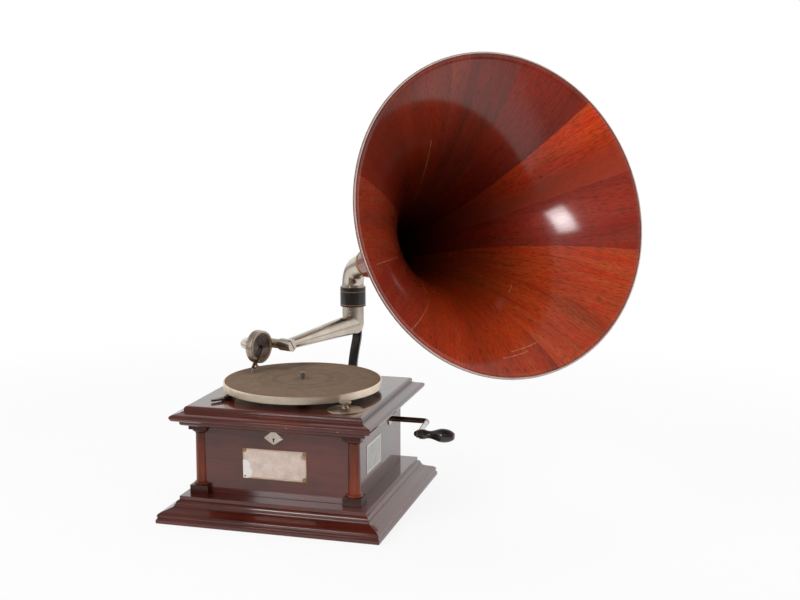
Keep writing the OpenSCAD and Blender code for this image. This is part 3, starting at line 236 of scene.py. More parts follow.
def polished_wood(name, tones, at=along_the_piece, chips=(), blocks=None, **fixed):
    """Stained and polished mahogany: three tones from dark to light, raw spots at the chips, and a
    plain dark tone below and above the heights of blocks."""
    finish = {"Coat_Weight": 1.0, "Coat_Roughness": 0.07, "Coat_IOR": 1.5,
              "Specular_IOR_Level": 0.2}
    finish.update(fixed)
    stuff = Stuff(name, **finish)
    grain = at(stuff)
    cloud = stuff.noise(stuff.where, 9.0, 3.0, 0.55)
    streak = stuff.noise(grain, 110.0, 3.0, 0.55, 0.3)
    pores = stuff.noise(grain, 420.0, 2.0, 0.6)
    blend = stuff.plus(stuff.times(cloud, 0.62), stuff.times(streak, 0.38))
    colour = stuff.steps(blend, [(0.34, tones[0]), (0.5, tones[1]), (0.68, tones[2])])
    dark = stuff.fall(pores, 0.36, 0.46)
    colour = stuff.mix(stuff.times(dark, 0.25), colour, tuple(c * 0.35 for c in tones[0]))
    rough = stuff.plus(0.3, stuff.times(cloud, 0.25))
    if blocks:
        height = stuff.parts(stuff.where)[2]
        square = stuff.plus(stuff.calc("LESS_THAN", height, blocks[0]),
                            stuff.calc("GREATER_THAN", height, blocks[1]))
        colour = stuff.mix(square, colour, BLOCK_TONE)
    if chips:
        raw = stuff.near(stuff.where, chips, 0.0045)
        ragged = stuff.plus(raw, stuff.times(stuff.noise(stuff.where, 700.0), 0.5))
        bare = stuff.rise(ragged, 0.86, 0.92)
        colour = stuff.mix(bare, colour, rgb(176, 100, 58))
    height = stuff.plus(stuff.noise(stuff.where, 28.0, 2.0), stuff.times(pores, 0.08))
    soft = stuff.node("ShaderNodeBevel", {"Radius": 0.0011}, samples=6).outputs[0]
    stuff.tree.links.new(soft, stuff.shader.inputs["Coat Normal"])
    return stuff.done(colour, rough, height, depth=0.0008, strength=0.12)


# Stave tones round the horn, from the first seam on, as angles grow; the angle is measured from the
# sideways direction towards the top
FIRST_SEAM = 136.0
STAVES = [rgb(196, 78, 18), rgb(136, 50, 30), rgb(166, 74, 30), rgb(170, 78, 32),
          rgb(158, 66, 22), rgb(160, 67, 28), rgb(140, 58, 36), rgb(156, 72, 46),
          rgb(112, 42, 22), rgb(130, 50, 20), rgb(132, 58, 40), rgb(130, 46, 22)]
STAVE_LIGHT = rgb(200, 112, 44)
# Hairline cracks and scratches in the varnish: angle and distance from the throat at both ends
SCRATCHES = [(-17, 0.470, -16, 0.560), (-42, 0.578, -49, 0.470), (-47, 0.455, -46, 0.370),
             (62, 0.330, 66, 0.470), (-84, 0.552, -97, 0.545), (-90, 0.541, -104, 0.536),
             (-128, 0.430, -121, 0.436)]
SCRATCH_WIDTH = 0.0004
# The horn's radius for each metre from the throat, near enough to give the scratches their width
SCRATCH_SPREAD = 0.34


def scratches(stuff, angle, along):
    """1 on the fine lines of SCRATCHES, measured on the horn's own surface."""
    found = None
    for turn_a, from_a, turn_b, from_b in SCRATCHES:
        reach = math.radians(1) * SCRATCH_SPREAD * (from_a + from_b) / 2
        here = stuff.joined(stuff.times(angle, reach), along)
        start = Vector((turn_a * reach, from_a, 0))
        run = Vector((turn_b * reach, from_b, 0)) - start
        gone = stuff.vec("SUBTRACT", here, tuple(start))
        part = stuff.calc("DIVIDE", stuff.vec("DOT_PRODUCT", gone, tuple(run)), run.length_squared,
                          clamp=True)
        nearest = stuff.node("ShaderNodeVectorMath", {0: tuple(run), 3: part},
                             operation="SCALE").outputs[0]
        shake = stuff.minus(stuff.noise(stuff.where, 160.0), 0.5)
        off = stuff.plus(stuff.vec("DISTANCE", gone, nearest), stuff.times(shake, 0.0012))
        line = stuff.calc("LESS_THAN", off, SCRATCH_WIDTH)
        found = line if found is None else stuff.calc("MAXIMUM", found, line)
    return stuff.times(found, 0.6)


def from_the_throat(stuff):
    """The place seen from the horn's throat, and its parts sideways and up across the mouth."""
    place = stuff.vec("SUBTRACT", stuff.where, tuple(THROAT_CENTRE))
    return (place, stuff.vec("DOT_PRODUCT", place, tuple(HORN_SIDE)),
            stuff.vec("DOT_PRODUCT", place, tuple(HORN_TOP)))


def horn_wood(inside):
    """Veneer staves round the horn, each with its own tone and its grain along its middle; inside,
    painted shade darkens the throat and the upper side.
    """
    stuff = Stuff("horn_wood_inside" if inside else "horn_wood_outside", Coat_Weight=1.0,
                  Coat_Roughness=0.12, Coat_IOR=1.5, Specular_IOR_Level=0.1)
    place, side, top = from_the_throat(stuff)
    along = stuff.vec("LENGTH", place)
    radius = stuff.hypot(side, top)
    angle = stuff.times(stuff.calc("ARCTAN2", top, side), 180 / math.pi)
    turned = stuff.calc("MODULO", stuff.plus(angle, 360.0 - FIRST_SEAM), 360.0)
    share = stuff.calc("DIVIDE", turned, 360.0 / len(STAVES))
    stave = stuff.calc("FLOOR", share)
    across = stuff.minus(stuff.calc("FRACT", share), 0.5)
    width = stuff.times(stuff.times(across, radius), 2 * math.pi / len(STAVES))
    grain = stuff.joined(stuff.times(along, 0.07), width, stuff.times(stave, 3.7))
    fleck_at = stuff.joined(stuff.times(along, 0.13), width, stuff.times(stave, 1.9))
    stops = [(i / len(STAVES), tone) for i, tone in enumerate(STAVES)]
    tone = stuff.steps(stuff.calc("DIVIDE", stuff.plus(stave, 0.5), len(STAVES)), stops, "CONSTANT")
    streak = stuff.noise(grain, 90.0, 5.0, 0.7, 0.5)
    broad = stuff.noise(grain, 16.0, 2.0, 0.5, 0.3)
    bands = stuff.steps(streak, [(0.36, 0.25), (0.64, 0.85)])
    colour = stuff.mix(bands, tone, STAVE_LIGHT, "OVERLAY")
    vein = stuff.steps(stuff.noise(grain, 300.0, 3.0, 0.7, 0.4), [(0.36, 0.35), (0.5, 0.0)])
    colour = stuff.mix(vein, colour, rgb(62, 18, 10))
    shade = stuff.steps(broad, [(0.3, 0.62), (0.5, 0.95), (0.7, 1.18)])
    colour = stuff.mix(1.0, colour, shade, "MULTIPLY")
    fleck = stuff.fall(stuff.noise(fleck_at, 760.0, 2.0, 0.7), 0.36, 0.5)
    colour = stuff.mix(stuff.times(fleck, 0.62), colour, rgb(60, 19, 8))
    # The first stave is the brightest, mostly beside its first seam and near the mouth
    first = stuff.calc("LESS_THAN", share, 1.0)
    past = stuff.minus(share, 0.5)
    duller = stuff.rise(stuff.plus(past, stuff.times(broad, 0.3)), 0.14, 0.3)
    duller = stuff.calc("MAXIMUM", duller, stuff.fall(along, 0.34, 0.44))
    colour = stuff.mix(stuff.times(stuff.times(first, duller), 0.75), colour, rgb(136, 48, 28))
    joint = stuff.rise(stuff.calc("ABSOLUTE", across), 0.4955, 0.4985)
    colour = stuff.mix(stuff.times(joint, 0.5), colour, rgb(50, 16, 10))
    if inside:
        # Painted shade: the inside darkens towards the throat
        deep = stuff.steps(along, [(0.06, 0.05), (0.16, 0.17), (0.26, 0.42), (0.38, 0.78),
                                   (0.5, 1.0)])
        colour = stuff.mix(1.0, colour, deep, "MULTIPLY")
        # Painted shade: the upper side inside is darkened to about half, fading out between 0.42 m
        # and 0.56 m from the throat
        above = stuff.rise(stuff.calc("DIVIDE", top, radius), 0.0, 0.6)
        painted_upper_shade = stuff.steps(along, [(0.2, 0.55), (0.42, 0.5), (0.56, 1.0)])
        colour = stuff.mix(above, colour, stuff.mix(1.0, colour, painted_upper_shade, "MULTIPLY"))
        scratch = scratches(stuff, angle, along)
        colour = stuff.mix(scratch, colour, rgb(206, 140, 96))
    waves = stuff.noise(stuff.where, 20.0, 2.0)
    rough = stuff.plus(0.32, stuff.times(broad, 0.2))
    height = stuff.plus(waves, stuff.plus(stuff.times(streak, 0.1), stuff.times(joint, -0.15)))
    return stuff.done(colour, rough, height, depth=0.0012, strength=0.16)


def worn_metal(name, bright, dull, rough=0.22, spots=0.35):
    """Plated or polished metal with clouds of tarnish, fine pits and finger smudges."""
    stuff = Stuff(name, Metallic=1.0)
    cloud = stuff.noise(stuff.where, 30.0, 3.0, 0.5, 0.2)
    pits = stuff.noise(stuff.where, 520.0, 2.0, 0.7)
    share = stuff.steps(cloud, [(0.38, 0.0), (0.75, spots + 0.35)])
    pitted = stuff.fall(pits, 0.28, 0.34)
    share = stuff.calc("MAXIMUM", share, stuff.times(pitted, 0.4))
    colour = stuff.mix(share, bright, dull)
    smudge = stuff.noise(stuff.where, 90.0, 3.0)
    uneven = stuff.plus(rough, stuff.times(share, 0.22))
    uneven = stuff.plus(uneven, stuff.times(stuff.minus(smudge, 0.5), 0.08))
    height = stuff.plus(stuff.times(cloud, 0.5), stuff.times(smudge, 0.15))
    return stuff.done(colour, uneven, height, depth=0.0003, strength=0.05)


def felt():
    """Worn taupe baize: rings left by records, dark rubbed specks and a reddish edge."""
    stuff = Stuff("felt", Specular_IOR_Level=0.1)
    x, y, _ = stuff.parts(stuff.vec("SUBTRACT", stuff.where, tuple(SPINDLE)))
    radius = stuff.hypot(x, y)
    cloud = stuff.noise(stuff.where, 60.0, 4.0, 0.7)
    fuzz = stuff.noise(stuff.where, 900.0, 3.0, 0.8)
    wobble = stuff.plus(radius, stuff.times(cloud, 0.0015))
    rings = stuff.noise(stuff.joined(wobble), 380.0, 3.0, 0.8)
    wear = stuff.steps(stuff.calc("DIVIDE", wobble, RECORD_R),
                       [(0.06, 0.6), (0.14, 0.9), (0.3, 1.0), (0.36, 0.74), (0.43, 0.98),
                        (0.56, 0.86), (0.62, 1.04), (0.93, 1.0)])
    colour = stuff.mix(stuff.rise(cloud, 0.36, 0.64), rgb(124, 103, 85), rgb(140, 119, 99))
    colour = stuff.mix(1.0, colour, wear, "MULTIPLY")
    colour = stuff.mix(stuff.times(stuff.rise(rings, 0.4, 0.6), 0.3), colour, rgb(84, 74, 62))
    specks = stuff.noise(stuff.where, 330.0, 2.0, 0.8)
    wear_and_highlight_noise = stuff.noise(stuff.where, 34.0, 2.0)
    dark = stuff.times(stuff.rise(specks, 0.54, 0.62),
                       stuff.steps(wear_and_highlight_noise, [(0.4, 0.15), (0.6, 1.0)]))
    colour = stuff.mix(stuff.times(dark, 0.6), colour, rgb(60, 50, 42))
    edge = stuff.steps(stuff.calc("DIVIDE", radius, RECORD_R), [(0.965, 0.0), (0.985, 0.75)])
    colour = stuff.mix(edge, colour, rgb(140, 92, 62))
    colour = stuff.mix(stuff.times(fuzz, 0.3), colour, rgb(152, 134, 114))
    return stuff.done(colour, stuff.plus(0.8, stuff.times(cloud, 0.15)),
                      stuff.plus(fuzz, stuff.times(rings, 0.6)), depth=0.0005, strength=0.5)


# Turns a distance in metres into a share of 5 mm, for the ramps of borders
PER_5_MM = 200.0


def edge_gap(stuff, across, low, high, height, bottom, top):
    """Distance to the nearest edge of an upright oblong."""
    side = stuff.calc("MINIMUM", stuff.minus(across, low), stuff.minus(high, across))
    end = stuff.calc("MINIMUM", stuff.minus(height, bottom), stuff.minus(top, height))
    return stuff.calc("MINIMUM", side, end)


def name_plate():
    """A bare silvered plate: brass showing at the border and corners, a near-white patch at its
    lower left.
    """
    stuff = Stuff("name_plate", Metallic=0.2)
    x, _, z = stuff.parts(stuff.where)
    edge = edge_gap(stuff, x, *PLATE_X, z, *PLATE_Z)
    cloud = stuff.noise(stuff.where, 60.0, 4.0, 0.65)
    fine = stuff.noise(stuff.where, 420.0, 3.0, 0.7)
    colour = stuff.mix(stuff.rise(cloud, 0.36, 0.66), rgb(228, 208, 196), rgb(204, 184, 172))
    colour = stuff.mix(stuff.times(stuff.rise(fine, 0.56, 0.66), 0.3), colour, rgb(140, 112, 96))
    ragged = stuff.plus(edge, stuff.times(stuff.minus(cloud, 0.5), 0.006))
    border = stuff.fall(stuff.times(ragged, PER_5_MM), 0.14, 0.26)
    colour = stuff.mix(stuff.times(border, 0.85), colour, rgb(176, 128, 72))
    line = stuff.steps(stuff.times(edge, PER_5_MM),
                       [(0.36, 0.0), (0.4, 1.0), (0.46, 1.0), (0.5, 0.0)])
    colour = stuff.mix(stuff.times(line, 0.5), colour, rgb(96, 66, 40))
    wide = stuff.times(stuff.minus(cloud, 0.5), 0.02)
    flat = stuff.joined(x, stuff.plus(z, wide))
    corners = [(PLATE_X[1] - 0.002, PLATE_Z[0] + 0.003, 0),
               (PLATE_X[1] - 0.003, PLATE_Z[1] - 0.006, 0),
               (PLATE_X[0] + 0.001, PLATE_Z[1] - 0.001, 0)]
    brown = stuff.rise(stuff.near(flat, corners, 0.009), 0.2, 0.6)
    colour = stuff.mix(stuff.times(brown, 0.7), colour, rgb(150, 108, 62))
    screws = [(x, PLATE_FRONT_Y, z) for x in PLATE_SCREW_X for z in PLATE_SCREW_Z]
    rings = stuff.near(stuff.where, screws, 0.005)
    colour = stuff.mix(stuff.times(stuff.rise(rings, 0.3, 0.5), 0.8), colour, rgb(84, 60, 40))
    patch = stuff.near(flat, [(PLATE_X[0] + 0.002, PLATE_Z[0] + 0.019, 0),
                              (PLATE_X[0] + 0.006, PLATE_Z[0] + 0.009, 0)], 0.012)
    colour = stuff.mix(stuff.rise(patch, 0.2, 0.24), colour, rgb(240, 236, 230))
    return stuff.done(colour, stuff.plus(0.3, stuff.times(cloud, 0.3)), fine,
                      depth=0.0003, strength=0.25)


def side_label():
    """A bare, rubbed transfer label with a pale double border."""
    stuff = Stuff("side_label", Coat_Weight=1.0, Coat_Roughness=0.12, Coat_IOR=1.7)
    _, y, z = stuff.parts(stuff.where)
    edge = stuff.times(edge_gap(stuff, y, *LABEL_Y, z, *LABEL_Z), PER_5_MM)
    cloud = stuff.noise(stuff.where, 45.0, 4.0, 0.65)
    fine = stuff.noise(stuff.where, 260.0, 3.0, 0.7)
    colour = stuff.mix(stuff.rise(cloud, 0.34, 0.66), rgb(120, 120, 112), rgb(166, 166, 156))
    colour = stuff.mix(stuff.times(stuff.rise(fine, 0.5, 0.64), 0.45), colour, rgb(196, 194, 184))
    pale = stuff.steps(edge, [(0.1, 0.0), (0.14, 1.0), (0.3, 1.0), (0.34, 0.0),
                              (0.56, 0.0), (0.6, 1.0), (0.76, 1.0), (0.8, 0.0)])
    colour = stuff.mix(stuff.times(pale, 0.95), colour, rgb(246, 244, 238))
    return stuff.done(colour, stuff.plus(0.35, stuff.times(cloud, 0.3)), fine,
                      depth=0.0002, strength=0.2)


def black_paint(name, shine=0.22, lines=False):
    """Glossy black japanning with rubbed spots; the collar also has two thin gilt lines."""
    stuff = Stuff(name, Coat_Weight=0.7, Coat_Roughness=0.08)
    cloud = stuff.noise(stuff.where, 60.0, 4.0, 0.6)
    fine = stuff.noise(stuff.where, 500.0, 2.0, 0.7)
    colour = stuff.mix(stuff.rise(cloud, 0.4, 0.7), rgb(14, 11, 11), rgb(30, 24, 22))
    rubbed = stuff.times(stuff.rise(fine, 0.64, 0.7), stuff.rise(cloud, 0.52, 0.62))
    colour = stuff.mix(rubbed, colour, rgb(96, 80, 66))
    if lines:
        _, _, z = stuff.parts(stuff.where)
        for height in COLLAR_LINES:
            off = stuff.calc("ABSOLUTE", stuff.minus(z, height))
            colour = stuff.mix(stuff.times(stuff.calc("LESS_THAN", off, 0.0005), 0.8),
                               colour, rgb(176, 124, 70))
    return stuff.done(colour, stuff.plus(shine, stuff.times(cloud, 0.2)), cloud,
                      depth=0.0006, strength=0.1)


def crank_metal():
    """Browned shaft, bend and eye, with the arm between them still bright."""
    stuff = Stuff("crank_metal", Metallic=1.0)
    back = stuff.parts(stuff.where)[1]
    cloud = stuff.noise(stuff.where, 60.0, 4.0, 0.6)
    ragged = stuff.plus(back, stuff.times(stuff.minus(cloud, 0.5), 0.01))
    brown = stuff.plus(stuff.rise(ragged, CRANK_BEND_Y - 0.001, CRANK_BEND_Y + 0.001),
                       stuff.calc("LESS_THAN", back, CRANK_EYE_Y))
    brown = stuff.calc("MINIMUM", brown, 1.0)
    rust = stuff.mix(stuff.rise(cloud, 0.36, 0.64), rgb(88, 66, 54), rgb(134, 110, 94))
    white = stuff.mix(stuff.steps(cloud, [(0.4, 0.0), (0.7, 0.7)]),
                      rgb(214, 212, 206), rgb(164, 160, 152))
    rough = stuff.plus(0.16, stuff.times(brown, 0.2))
    return stuff.done(stuff.mix(brown, white, rust), rough, cloud, depth=0.0005, strength=0.12)


def rim_bead():
    """The rim's bead: dark red-brown, with a pale painted highlight line along its forward-facing
    side, partly metallic there.
    """
    stuff = Stuff("rim_bead", Coat_Weight=0.5, Coat_Roughness=0.12)
    place, side, top = from_the_throat(stuff)
    ahead = stuff.vec("DOT_PRODUCT", place, tuple(HORN_N))
    turn = stuff.calc("ARCTAN2", stuff.minus(ahead, BEAD_X),
                      stuff.minus(stuff.hypot(side, top), BEAD_R))
    # Painted highlight: pale and partly metallic round this direction of the section, broken up by
    # noise
    off = stuff.calc("ABSOLUTE", stuff.minus(turn, BEAD_HIGHLIGHT_TURN))
    wear_and_highlight_noise = stuff.noise(stuff.where, 70.0, 3.0)
    painted_highlight_line = stuff.fall(stuff.plus(off, stuff.times(wear_and_highlight_noise, 0.3)), 0.6, 0.8)
    cloud = stuff.noise(stuff.where, 40.0, 4.0, 0.6)
    brown = stuff.mix(cloud, rgb(66, 30, 20), rgb(110, 58, 40))
    pale = stuff.mix(cloud, rgb(226, 184, 168), rgb(252, 232, 222))
    rough = stuff.minus(0.4, stuff.times(painted_highlight_line, 0.2))
    return stuff.done(stuff.mix(painted_highlight_line, brown, pale), rough, cloud, depth=0.0004, strength=0.1,
                      Metallic=stuff.times(painted_highlight_line, 0.8))


def sound_box_metal():
    """The sound box's ring: browned sides, bright bevels at both edges of its front."""
    stuff = Stuff("sound_box_metal", Metallic=1.0)
    gone = stuff.vec("SUBTRACT", stuff.where, tuple(BOX_CENTRE))
    along = stuff.vec("DOT_PRODUCT", gone, tuple(ARM_X))
    out = stuff.calc("SQRT", stuff.minus(stuff.vec("DOT_PRODUCT", gone, gone),
                                         stuff.times(along, along)))
    cloud = stuff.noise(stuff.where, 90.0, 4.0, 0.6)
    share = stuff.calc("DIVIDE", out, BOX_R)
    face = stuff.calc("GREATER_THAN", along, BOX_HALF - 0.0016)
    bevel = stuff.steps(share, [(0.78, 0.2), (0.8, 1.0), (0.85, 1.0), (0.87, 0.15), (0.93, 0.15),
                                (0.95, 1.0)])
    bright = stuff.times(face, bevel)
    colour = stuff.mix(stuff.rise(cloud, 0.36, 0.64), rgb(150, 132, 118), rgb(214, 196, 180))
    colour = stuff.mix(bright, colour, rgb(226, 218, 204))
    return stuff.done(colour, stuff.minus(0.34, stuff.times(bright, 0.16)), cloud,
                      depth=0.0004, strength=0.15)


def plain_rough(name, dark, light, scale=70.0, rough=0.7, metal=0.0):
    """Cast iron, bare boards, lead or leather: mottled and dull."""
    stuff = Stuff(name, Metallic=metal)
    cloud = stuff.noise(stuff.where, scale, 5.0, 0.65)
    fine = stuff.noise(stuff.where, scale * 9, 2.0, 0.6)
    colour = stuff.mix(stuff.rise(cloud, 0.34, 0.66), dark, light)
    return stuff.done(colour, stuff.plus(rough - 0.1, stuff.times(fine, 0.2)),
                      stuff.plus(cloud, fine), depth=0.0006, strength=0.35)


def mica():
    """The sound box's disc: dark smoky mica with a faint shine."""
    stuff = Stuff("mica", Coat_Weight=0.8, Coat_Roughness=0.15, Specular_IOR_Level=0.6)
    cloud = stuff.noise(stuff.where, 120.0, 4.0, 0.6)
    colour = stuff.mix(stuff.rise(cloud, 0.36, 0.66), rgb(70, 60, 54), rgb(112, 100, 92))
    return stuff.done(colour, stuff.plus(0.25, stuff.times(cloud, 0.2)), cloud,
                      depth=0.0002, strength=0.2)


def paint(material, names):
    """Gives named CAD nodes a material."""
    for name in names.split():
        NODES[name].data.materials.clear()
        NODES[name].data.materials.append(material)


def piece(name, mesh, body, slot, *materials):
    """A finished mesh as a piece that rides on a body."""
    made = bpy.data.objects.new(name, mesh)
    bpy.context.scene.collection.objects.link(made)
    for material in materials:
        mesh.materials.append(material)
    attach(made, body)
    return made


def lathe(name, profile, origin, axis, start, around, kinds=None):
    """A closed loop of (radius, distance) points turned about an axis; kinds gives each span's
    material slot."""
    axis = Vector(axis).normalized()
    start = Vector(start).normalized()
    other = axis.cross(start)
    rows, faces, marks = [], [], []
    for i in range(around):
        turn = 2 * math.pi * i / around
        out = start * math.cos(turn) + other * math.sin(turn)
        rows += [Vector(origin) + axis * x + out * r for r, x in profile]
    count = len(profile)
    for i in range(around):
        here, after = i * count, (i + 1) % around * count
        for j in range(count):
            k = (j + 1) % count
            faces.append((here + j, after + j, after + k, here + k))
            marks.append(kinds[j] if kinds else 0)
    mesh = bpy.data.meshes.new(name)
    mesh.from_pydata([tuple(v) for v in rows], [], faces)
    mesh.polygons.foreach_set("material_index", marks)
    mesh.polygons.foreach_set("use_smooth", [True] * len(faces))
    mesh.update()
    bm = bmesh.new()
    bm.from_mesh(mesh)
    bmesh.ops.recalc_face_normals(bm, faces=bm.faces)
    bm.to_mesh(mesh)
    bm.free()
    return mesh


def flare(t):
    """The horn's inner radius and distance at a share of its length."""
    return (THROAT_R + (EDGE_R - THROAT_R) * (math.exp(FLARE * t) - 1) / (math.exp(FLARE) - 1),
            THROAT_X + (EDGE_X - THROAT_X) * t)


def horn_shell():
    """The smooth horn, with one material inside and another outside, in the CAD horn's place."""
    steps, around = 90, 180
    aside = 0.001  # how far before and after a point its slope is taken, as a share of the length
    inner = [flare(i / steps) for i in range(steps + 1)]
    outer = []
    for i in range(steps + 1):
        (r0, x0), (r1, x1) = flare(i / steps - aside), flare(i / steps + aside)
        long = math.hypot(r1 - r0, x1 - x0)
        r, x = inner[i]
        outer.append((r + HORN_WALL * (x1 - x0) / long, x - HORN_WALL * (r1 - r0) / long))
    outer[0] = (THROAT_R + HORN_WALL, THROAT_X)
    profile = inner + outer[::-1]
    kinds = [0] * steps + [1] * (steps + 2)
    mesh = lathe("horn_shell", profile, THROAT_CENTRE, HORN_N, HORN_SIDE, around, kinds)
    shell = piece("horn_shell", mesh, "horn", "horn_wood", horn_wood(True), horn_wood(False))
    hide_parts("horn")


def gasket_edge(brass):
    """The brass-coloured edge of the gasket round the sound box's disc."""
    thick, ring_r, depth = 0.0005, BOX_R - 0.0064, BOX_HALF - 0.0019
    profile = [(ring_r + thick * math.cos(turn), depth + thick * math.sin(turn))
               for turn in (2 * math.pi * i / 10 for i in range(10))]
    mesh = lathe("gasket_edge", profile, BOX_CENTRE, ARM_X, (0, 0, 1), 72)
    piece("gasket_edge", mesh, "sound_box", "brass", brass)


# Dark, middle and light tone of the case and the columns, the heights between which a column is
# round, and the case's chipped corners
CASE_TONES = (rgb(60, 18, 10), rgb(84, 29, 17), rgb(103, 38, 23))
COLUMN_TONES = (rgb(58, 20, 10), rgb(94, 40, 20), rgb(144, 62, 32))
COLUMN_BLOCKS = (0.0512, 0.1396)
CORNER_CHIPS = [(0.1604, -0.1604, 0.1605), (0.1604, -0.152, 0.1595), (-0.1604, -0.1604, 0.160),
                (0.1785, -0.1785, 0.018), (-0.1785, -0.1785, 0.012), (0.110, -0.1606, 0.1595),
                (0.030, -0.1606, 0.1600)]


def upright_grain(stuff):
    """Grain along Z, as on a turned column."""
    return stuff.scaled(stuff.where, (1, 1, COLUMN_SHRINK))


def finish_nodes():
    """Materials for every CAD node, and the gasket's edge."""
    case = polished_wood("case_wood", CASE_TONES, chips=CORNER_CHIPS, Coat_IOR=1.56)
    column = polished_wood("column_wood", COLUMN_TONES, upright_grain, blocks=COLUMN_BLOCKS,
                           Coat_IOR=1.32, Coat_Weight=0.65)
    nickel = worn_metal("nickel", rgb(212, 200, 186), rgb(156, 142, 124), 0.22, 0.1)
    tarnished = worn_metal("tarnished_nickel", rgb(206, 190, 172), rgb(132, 114, 96), 0.3, 0.4)
    rim_metal = worn_metal("turntable_rim", rgb(250, 234, 212), rgb(206, 186, 160), 0.36, 0.2)
    back = worn_metal("sound_box_back", rgb(128, 118, 108), rgb(78, 68, 58), 0.34, 0.4)
    brass = worn_metal("brass", rgb(204, 168, 96), rgb(132, 98, 50), 0.28)
    bronze = worn_metal("browned_steel", rgb(112, 90, 70), rgb(62, 48, 38), 0.34, 0.5)
    steel = worn_metal("steel", rgb(176, 176, 178), rgb(104, 96, 86), 0.25)
    copper = worn_metal("copper_rivet", rgb(150, 100, 66), rgb(84, 56, 38), 0.3)
    black = black_paint("black_iron")
    collar = black_paint("collar_black", lines=True)
    paint(case, "base_frame case_body cornice top_board")
    paint(column, "column_left column_right")
    paint(plain_rough("inner_wood", rgb(150, 108, 70), rgb(186, 144, 100), 40.0), "bottom_board")
    paint(nickel, "escutcheon escutcheon_screws crank_bush tone_arm gooseneck horn_elbow")
    paint(tarnished, "speed_dial speed_knob needle_screw")
    paint(crank_metal(), "crank")
    paint(rim_metal, "turntable")
    paint(back, "soundbox_back")
    paint(sound_box_metal(), "soundbox_ring")
    paint(rim_bead(), "horn_rim")
    paint(brass, "plate_screws horn_ferrule spring_barrel barrel_cover contrate_wheel"
          " intermediate_gear governor_wheel governor_disc governor_bearings motor_pillars lock")
    paint(name_plate(), "name_plate")
    paint(side_label(), "side_label")
    paint(collar, "back_bracket")
    paint(black, "bracket_screws")
    paint(plain_rough("cast_iron", rgb(44, 44, 46), rgb(74, 74, 76), metal=0.4, rough=0.6),
          "motor_plate lower_plate")
    paint(bronze, "winding_shaft needle_bar brake_bracket brake_lever")
    paint(steel, "motor_bolts mainspring barrel_arbor ratchet_wheel ratchet_pawl intermediate_arbor"
          " spindle governor_shaft governor_springs speed_lever needle")
    paint(plain_rough("lead", rgb(88, 88, 92), rgb(120, 120, 124), metal=0.6), "governor_weights")
    paint(black_paint("black_wood", 0.3), "crank_handle")
    paint(copper, "handle_pin")
    paint(plain_rough("leather", rgb(104, 70, 42), rgb(140, 98, 62), 120.0), "brake_pad")
    paint(felt(), "turntable_felt")
    paint(mica(), "diaphragm")
    gasket_edge(brass)


# The camera's place, heading, tilt and roll, and the lens and shift for a 36 mm frame
CAMERA_AT = Vector((0.6626, -1.8223, 0.6392))
CAMERA_HEADING = math.radians(15.6)
CAMERA_TILT = math.radians(9.3)
CAMERA_ROLL = math.radians(-0.1)
LENS = 55.32
SENSOR = 36.0
SHIFT = (0.006, 0.0036)


def camera():
    """The photograph's camera."""
    data = bpy.data.cameras.new("camera")
    data.lens = LENS
    data.sensor_width = SENSOR
    data.shift_x, data.shift_y = SHIFT
    made = bpy.data.objects.new("camera", data)
    bpy.context.scene.collection.objects.link(made)
    a, e = CAMERA_HEADING, CAMERA_TILT
    right = Vector((math.cos(a), math.sin(a), 0))
    back = Vector((math.sin(a) * math.cos(e), -math.cos(a) * math.cos(e), math.sin(e)))
    up = back.cross(right)
    face = Matrix((right, up, back)).transposed()
    made.matrix_world = (Matrix.Translation(CAMERA_AT) @ face.to_4x4()
                         @ Matrix.Rotation(CAMERA_ROLL, 4, "Z"))
    bpy.context.scene.camera = made


def lamp(name, at, target, size, power, beam=None):
    """A soft box facing a point. Only one with a narrow beam has an image in polished faces."""
    data = bpy.data.lights.new(name, "AREA")
    data.shape = "RECTANGLE"
    data.size, data.size_y = size
    data.energy = power
    made = bpy.data.objects.new(name, data)
    bpy.context.scene.collection.objects.link(made)
    made.location = at
    aim = Vector(target) - Vector(at)
    made.rotation_euler = aim.to_track_quat("-Z", "Y").to_euler()
    made.visible_glossy = beam is not None
    if beam:
        data.spread = beam


# The window's beam: wide enough for the horn, too narrow for the case
WINDOW_SPREAD = math.radians(36)
# How bright the room is for everything but the camera and polished faces
WORLD_LEVEL = 0.5
# Towards the viewer and overhead the studio is dim, which mirrors and varnish show as darker bands.
# Each fade: where it starts and ends, and the level before and after
VIEWER_SIDE = (0.27, -0.96, 0.0)
FADE_AHEAD = (0.15, 0.85, 1.0, 0.2)
FADE_ABOVE = (0.4, 0.9, 1.0, 0.25)
FLOOR_RADIUS = 20.0
# The floor glows white for the camera, far off wholly, near the object less, so that a shadow shows
FLOOR_GLOW = (0.75, 1.6, 0.86, 1.0)
# The lit floor as polished faces show it: full near the object, dim towards the viewer and far off;
# the viewer's side starts farther back on the right
MIRROR_ROUND = (1.35, 1.9, 1.0, 0.3)
MIRROR_BEFORE = (-0.85, -0.4, 0.14, 1.0)
MIRROR_RIGHT = (0.4, 0.9, 0.0, 0.25)
MIRROR_LEAST_GLOW = 0.48


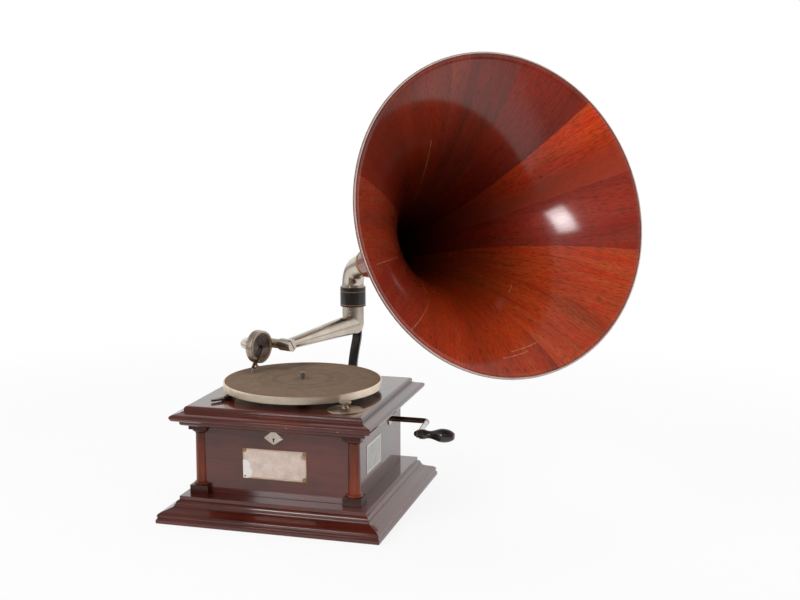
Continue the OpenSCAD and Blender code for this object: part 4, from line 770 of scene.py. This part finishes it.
def studio():
    """White for the camera; for polished faces white behind the object, dim before and above."""
    world = bpy.data.worlds.new("studio")
    world.use_nodes = True
    bpy.context.scene.world = world
    tree = world.node_tree
    shader = tree.nodes["Background"]

    def added(kind, inputs=None, **settings):
        return add_node(tree, kind, inputs, **settings).outputs

    path = added("ShaderNodeLightPath")
    where = added("ShaderNodeTexCoord")["Generated"]
    facing = added("ShaderNodeVectorMath", {0: where, 1: VIEWER_SIDE},
                   operation="DOT_PRODUCT")["Value"]
    ahead = add_fade(tree, facing, FADE_AHEAD)
    above = add_fade(tree, added("ShaderNodeSeparateXYZ", {0: where})["Z"], FADE_ABOVE)
    dim = added("ShaderNodeMath", {0: ahead, 1: above}, operation="MULTIPLY")[0]
    plain = added("ShaderNodeMix", {0: path["Is Camera Ray"], 2: WORLD_LEVEL, 3: 1.0})[0]
    mirrored = added("ShaderNodeMath", {0: path["Is Glossy Ray"], 1: path["Is Transmission Ray"]},
                     operation="MAXIMUM")[0]
    level = added("ShaderNodeMix", {0: mirrored, 2: plain, 3: dim})[0]
    tree.links.new(level, shader.inputs["Strength"])
    shader.inputs["Color"].default_value = (1, 1, 1, 1)


def white_floor():
    """A white floor that keeps the object's shadow."""
    stuff = Stuff("floor_white", Roughness=0.9, Specular_IOR_Level=0.1)
    tree = stuff.tree
    cloud = stuff.noise(stuff.where, 3.0)
    stuff.done(stuff.mix(cloud, rgb(246, 246, 246), rgb(248, 248, 248)))
    gap = stuff.vec("LENGTH", stuff.where)
    far = add_fade(tree, gap, FLOOR_GLOW)
    x, y, _ = stuff.parts(stuff.where)
    back = stuff.minus(y, add_fade(tree, x, MIRROR_RIGHT))
    lit = stuff.times(add_fade(tree, gap, MIRROR_ROUND), add_fade(tree, back, MIRROR_BEFORE))
    path = stuff.node("ShaderNodeLightPath").outputs
    mirrored = stuff.calc("MAXIMUM", path["Is Glossy Ray"], path["Is Transmission Ray"])
    seen = stuff.times(path["Is Camera Ray"], far)
    dark = stuff.calc("MAXIMUM", MIRROR_LEAST_GLOW, stuff.minus(1.0, lit))
    share = stuff.node("ShaderNodeMix", {0: mirrored, 2: seen, 3: dark}).outputs[0]
    level = stuff.node("ShaderNodeMix", {0: mirrored, 2: 1.0, 3: lit}).outputs[0]
    glow = stuff.node("ShaderNodeEmission", {"Color": (1, 1, 1, 1), "Strength": level})
    both = stuff.node("ShaderNodeMixShader", {0: share})
    tree.links.new(stuff.shader.outputs[0], both.inputs[1])
    tree.links.new(glow.outputs[0], both.inputs[2])
    tree.links.new(both.outputs[0], tree.nodes["Material Output"].inputs["Surface"])
    bm = bmesh.new()
    bmesh.ops.create_circle(bm, cap_ends=True, segments=64, radius=FLOOR_RADIUS)
    mesh = bpy.data.meshes.new("floor")
    bm.to_mesh(mesh)
    bm.free()
    mesh.materials.append(stuff.material)
    floor = bpy.data.objects.new("floor", mesh)
    bpy.context.scene.collection.objects.link(floor)


def lights():
    """Four soft lamps; the window is the one whose image shows in the horn."""
    aim = (0.05, -0.05, 0.3)
    lamp("key", (-1.6, -2.0, 2.0), aim, (1.2, 1.2), 30)
    in_the_horn = (0.408, 0.013, 0.466)
    lamp("window", (-0.50, -1.71, 0.91), in_the_horn, (0.34, 0.74), 0.6, WINDOW_SPREAD)
    lamp("fill", (2.2, -1.2, 1.4), aim, (1.5, 1.5), 12)
    lamp("top", (0.2, 0.4, 2.6), aim, (1.6, 1.6), 16)


scene = bpy.context.scene
scene.view_settings.view_transform = "Standard"
camera()
studio()
white_floor()
lights()
finish_nodes()
horn_shell()
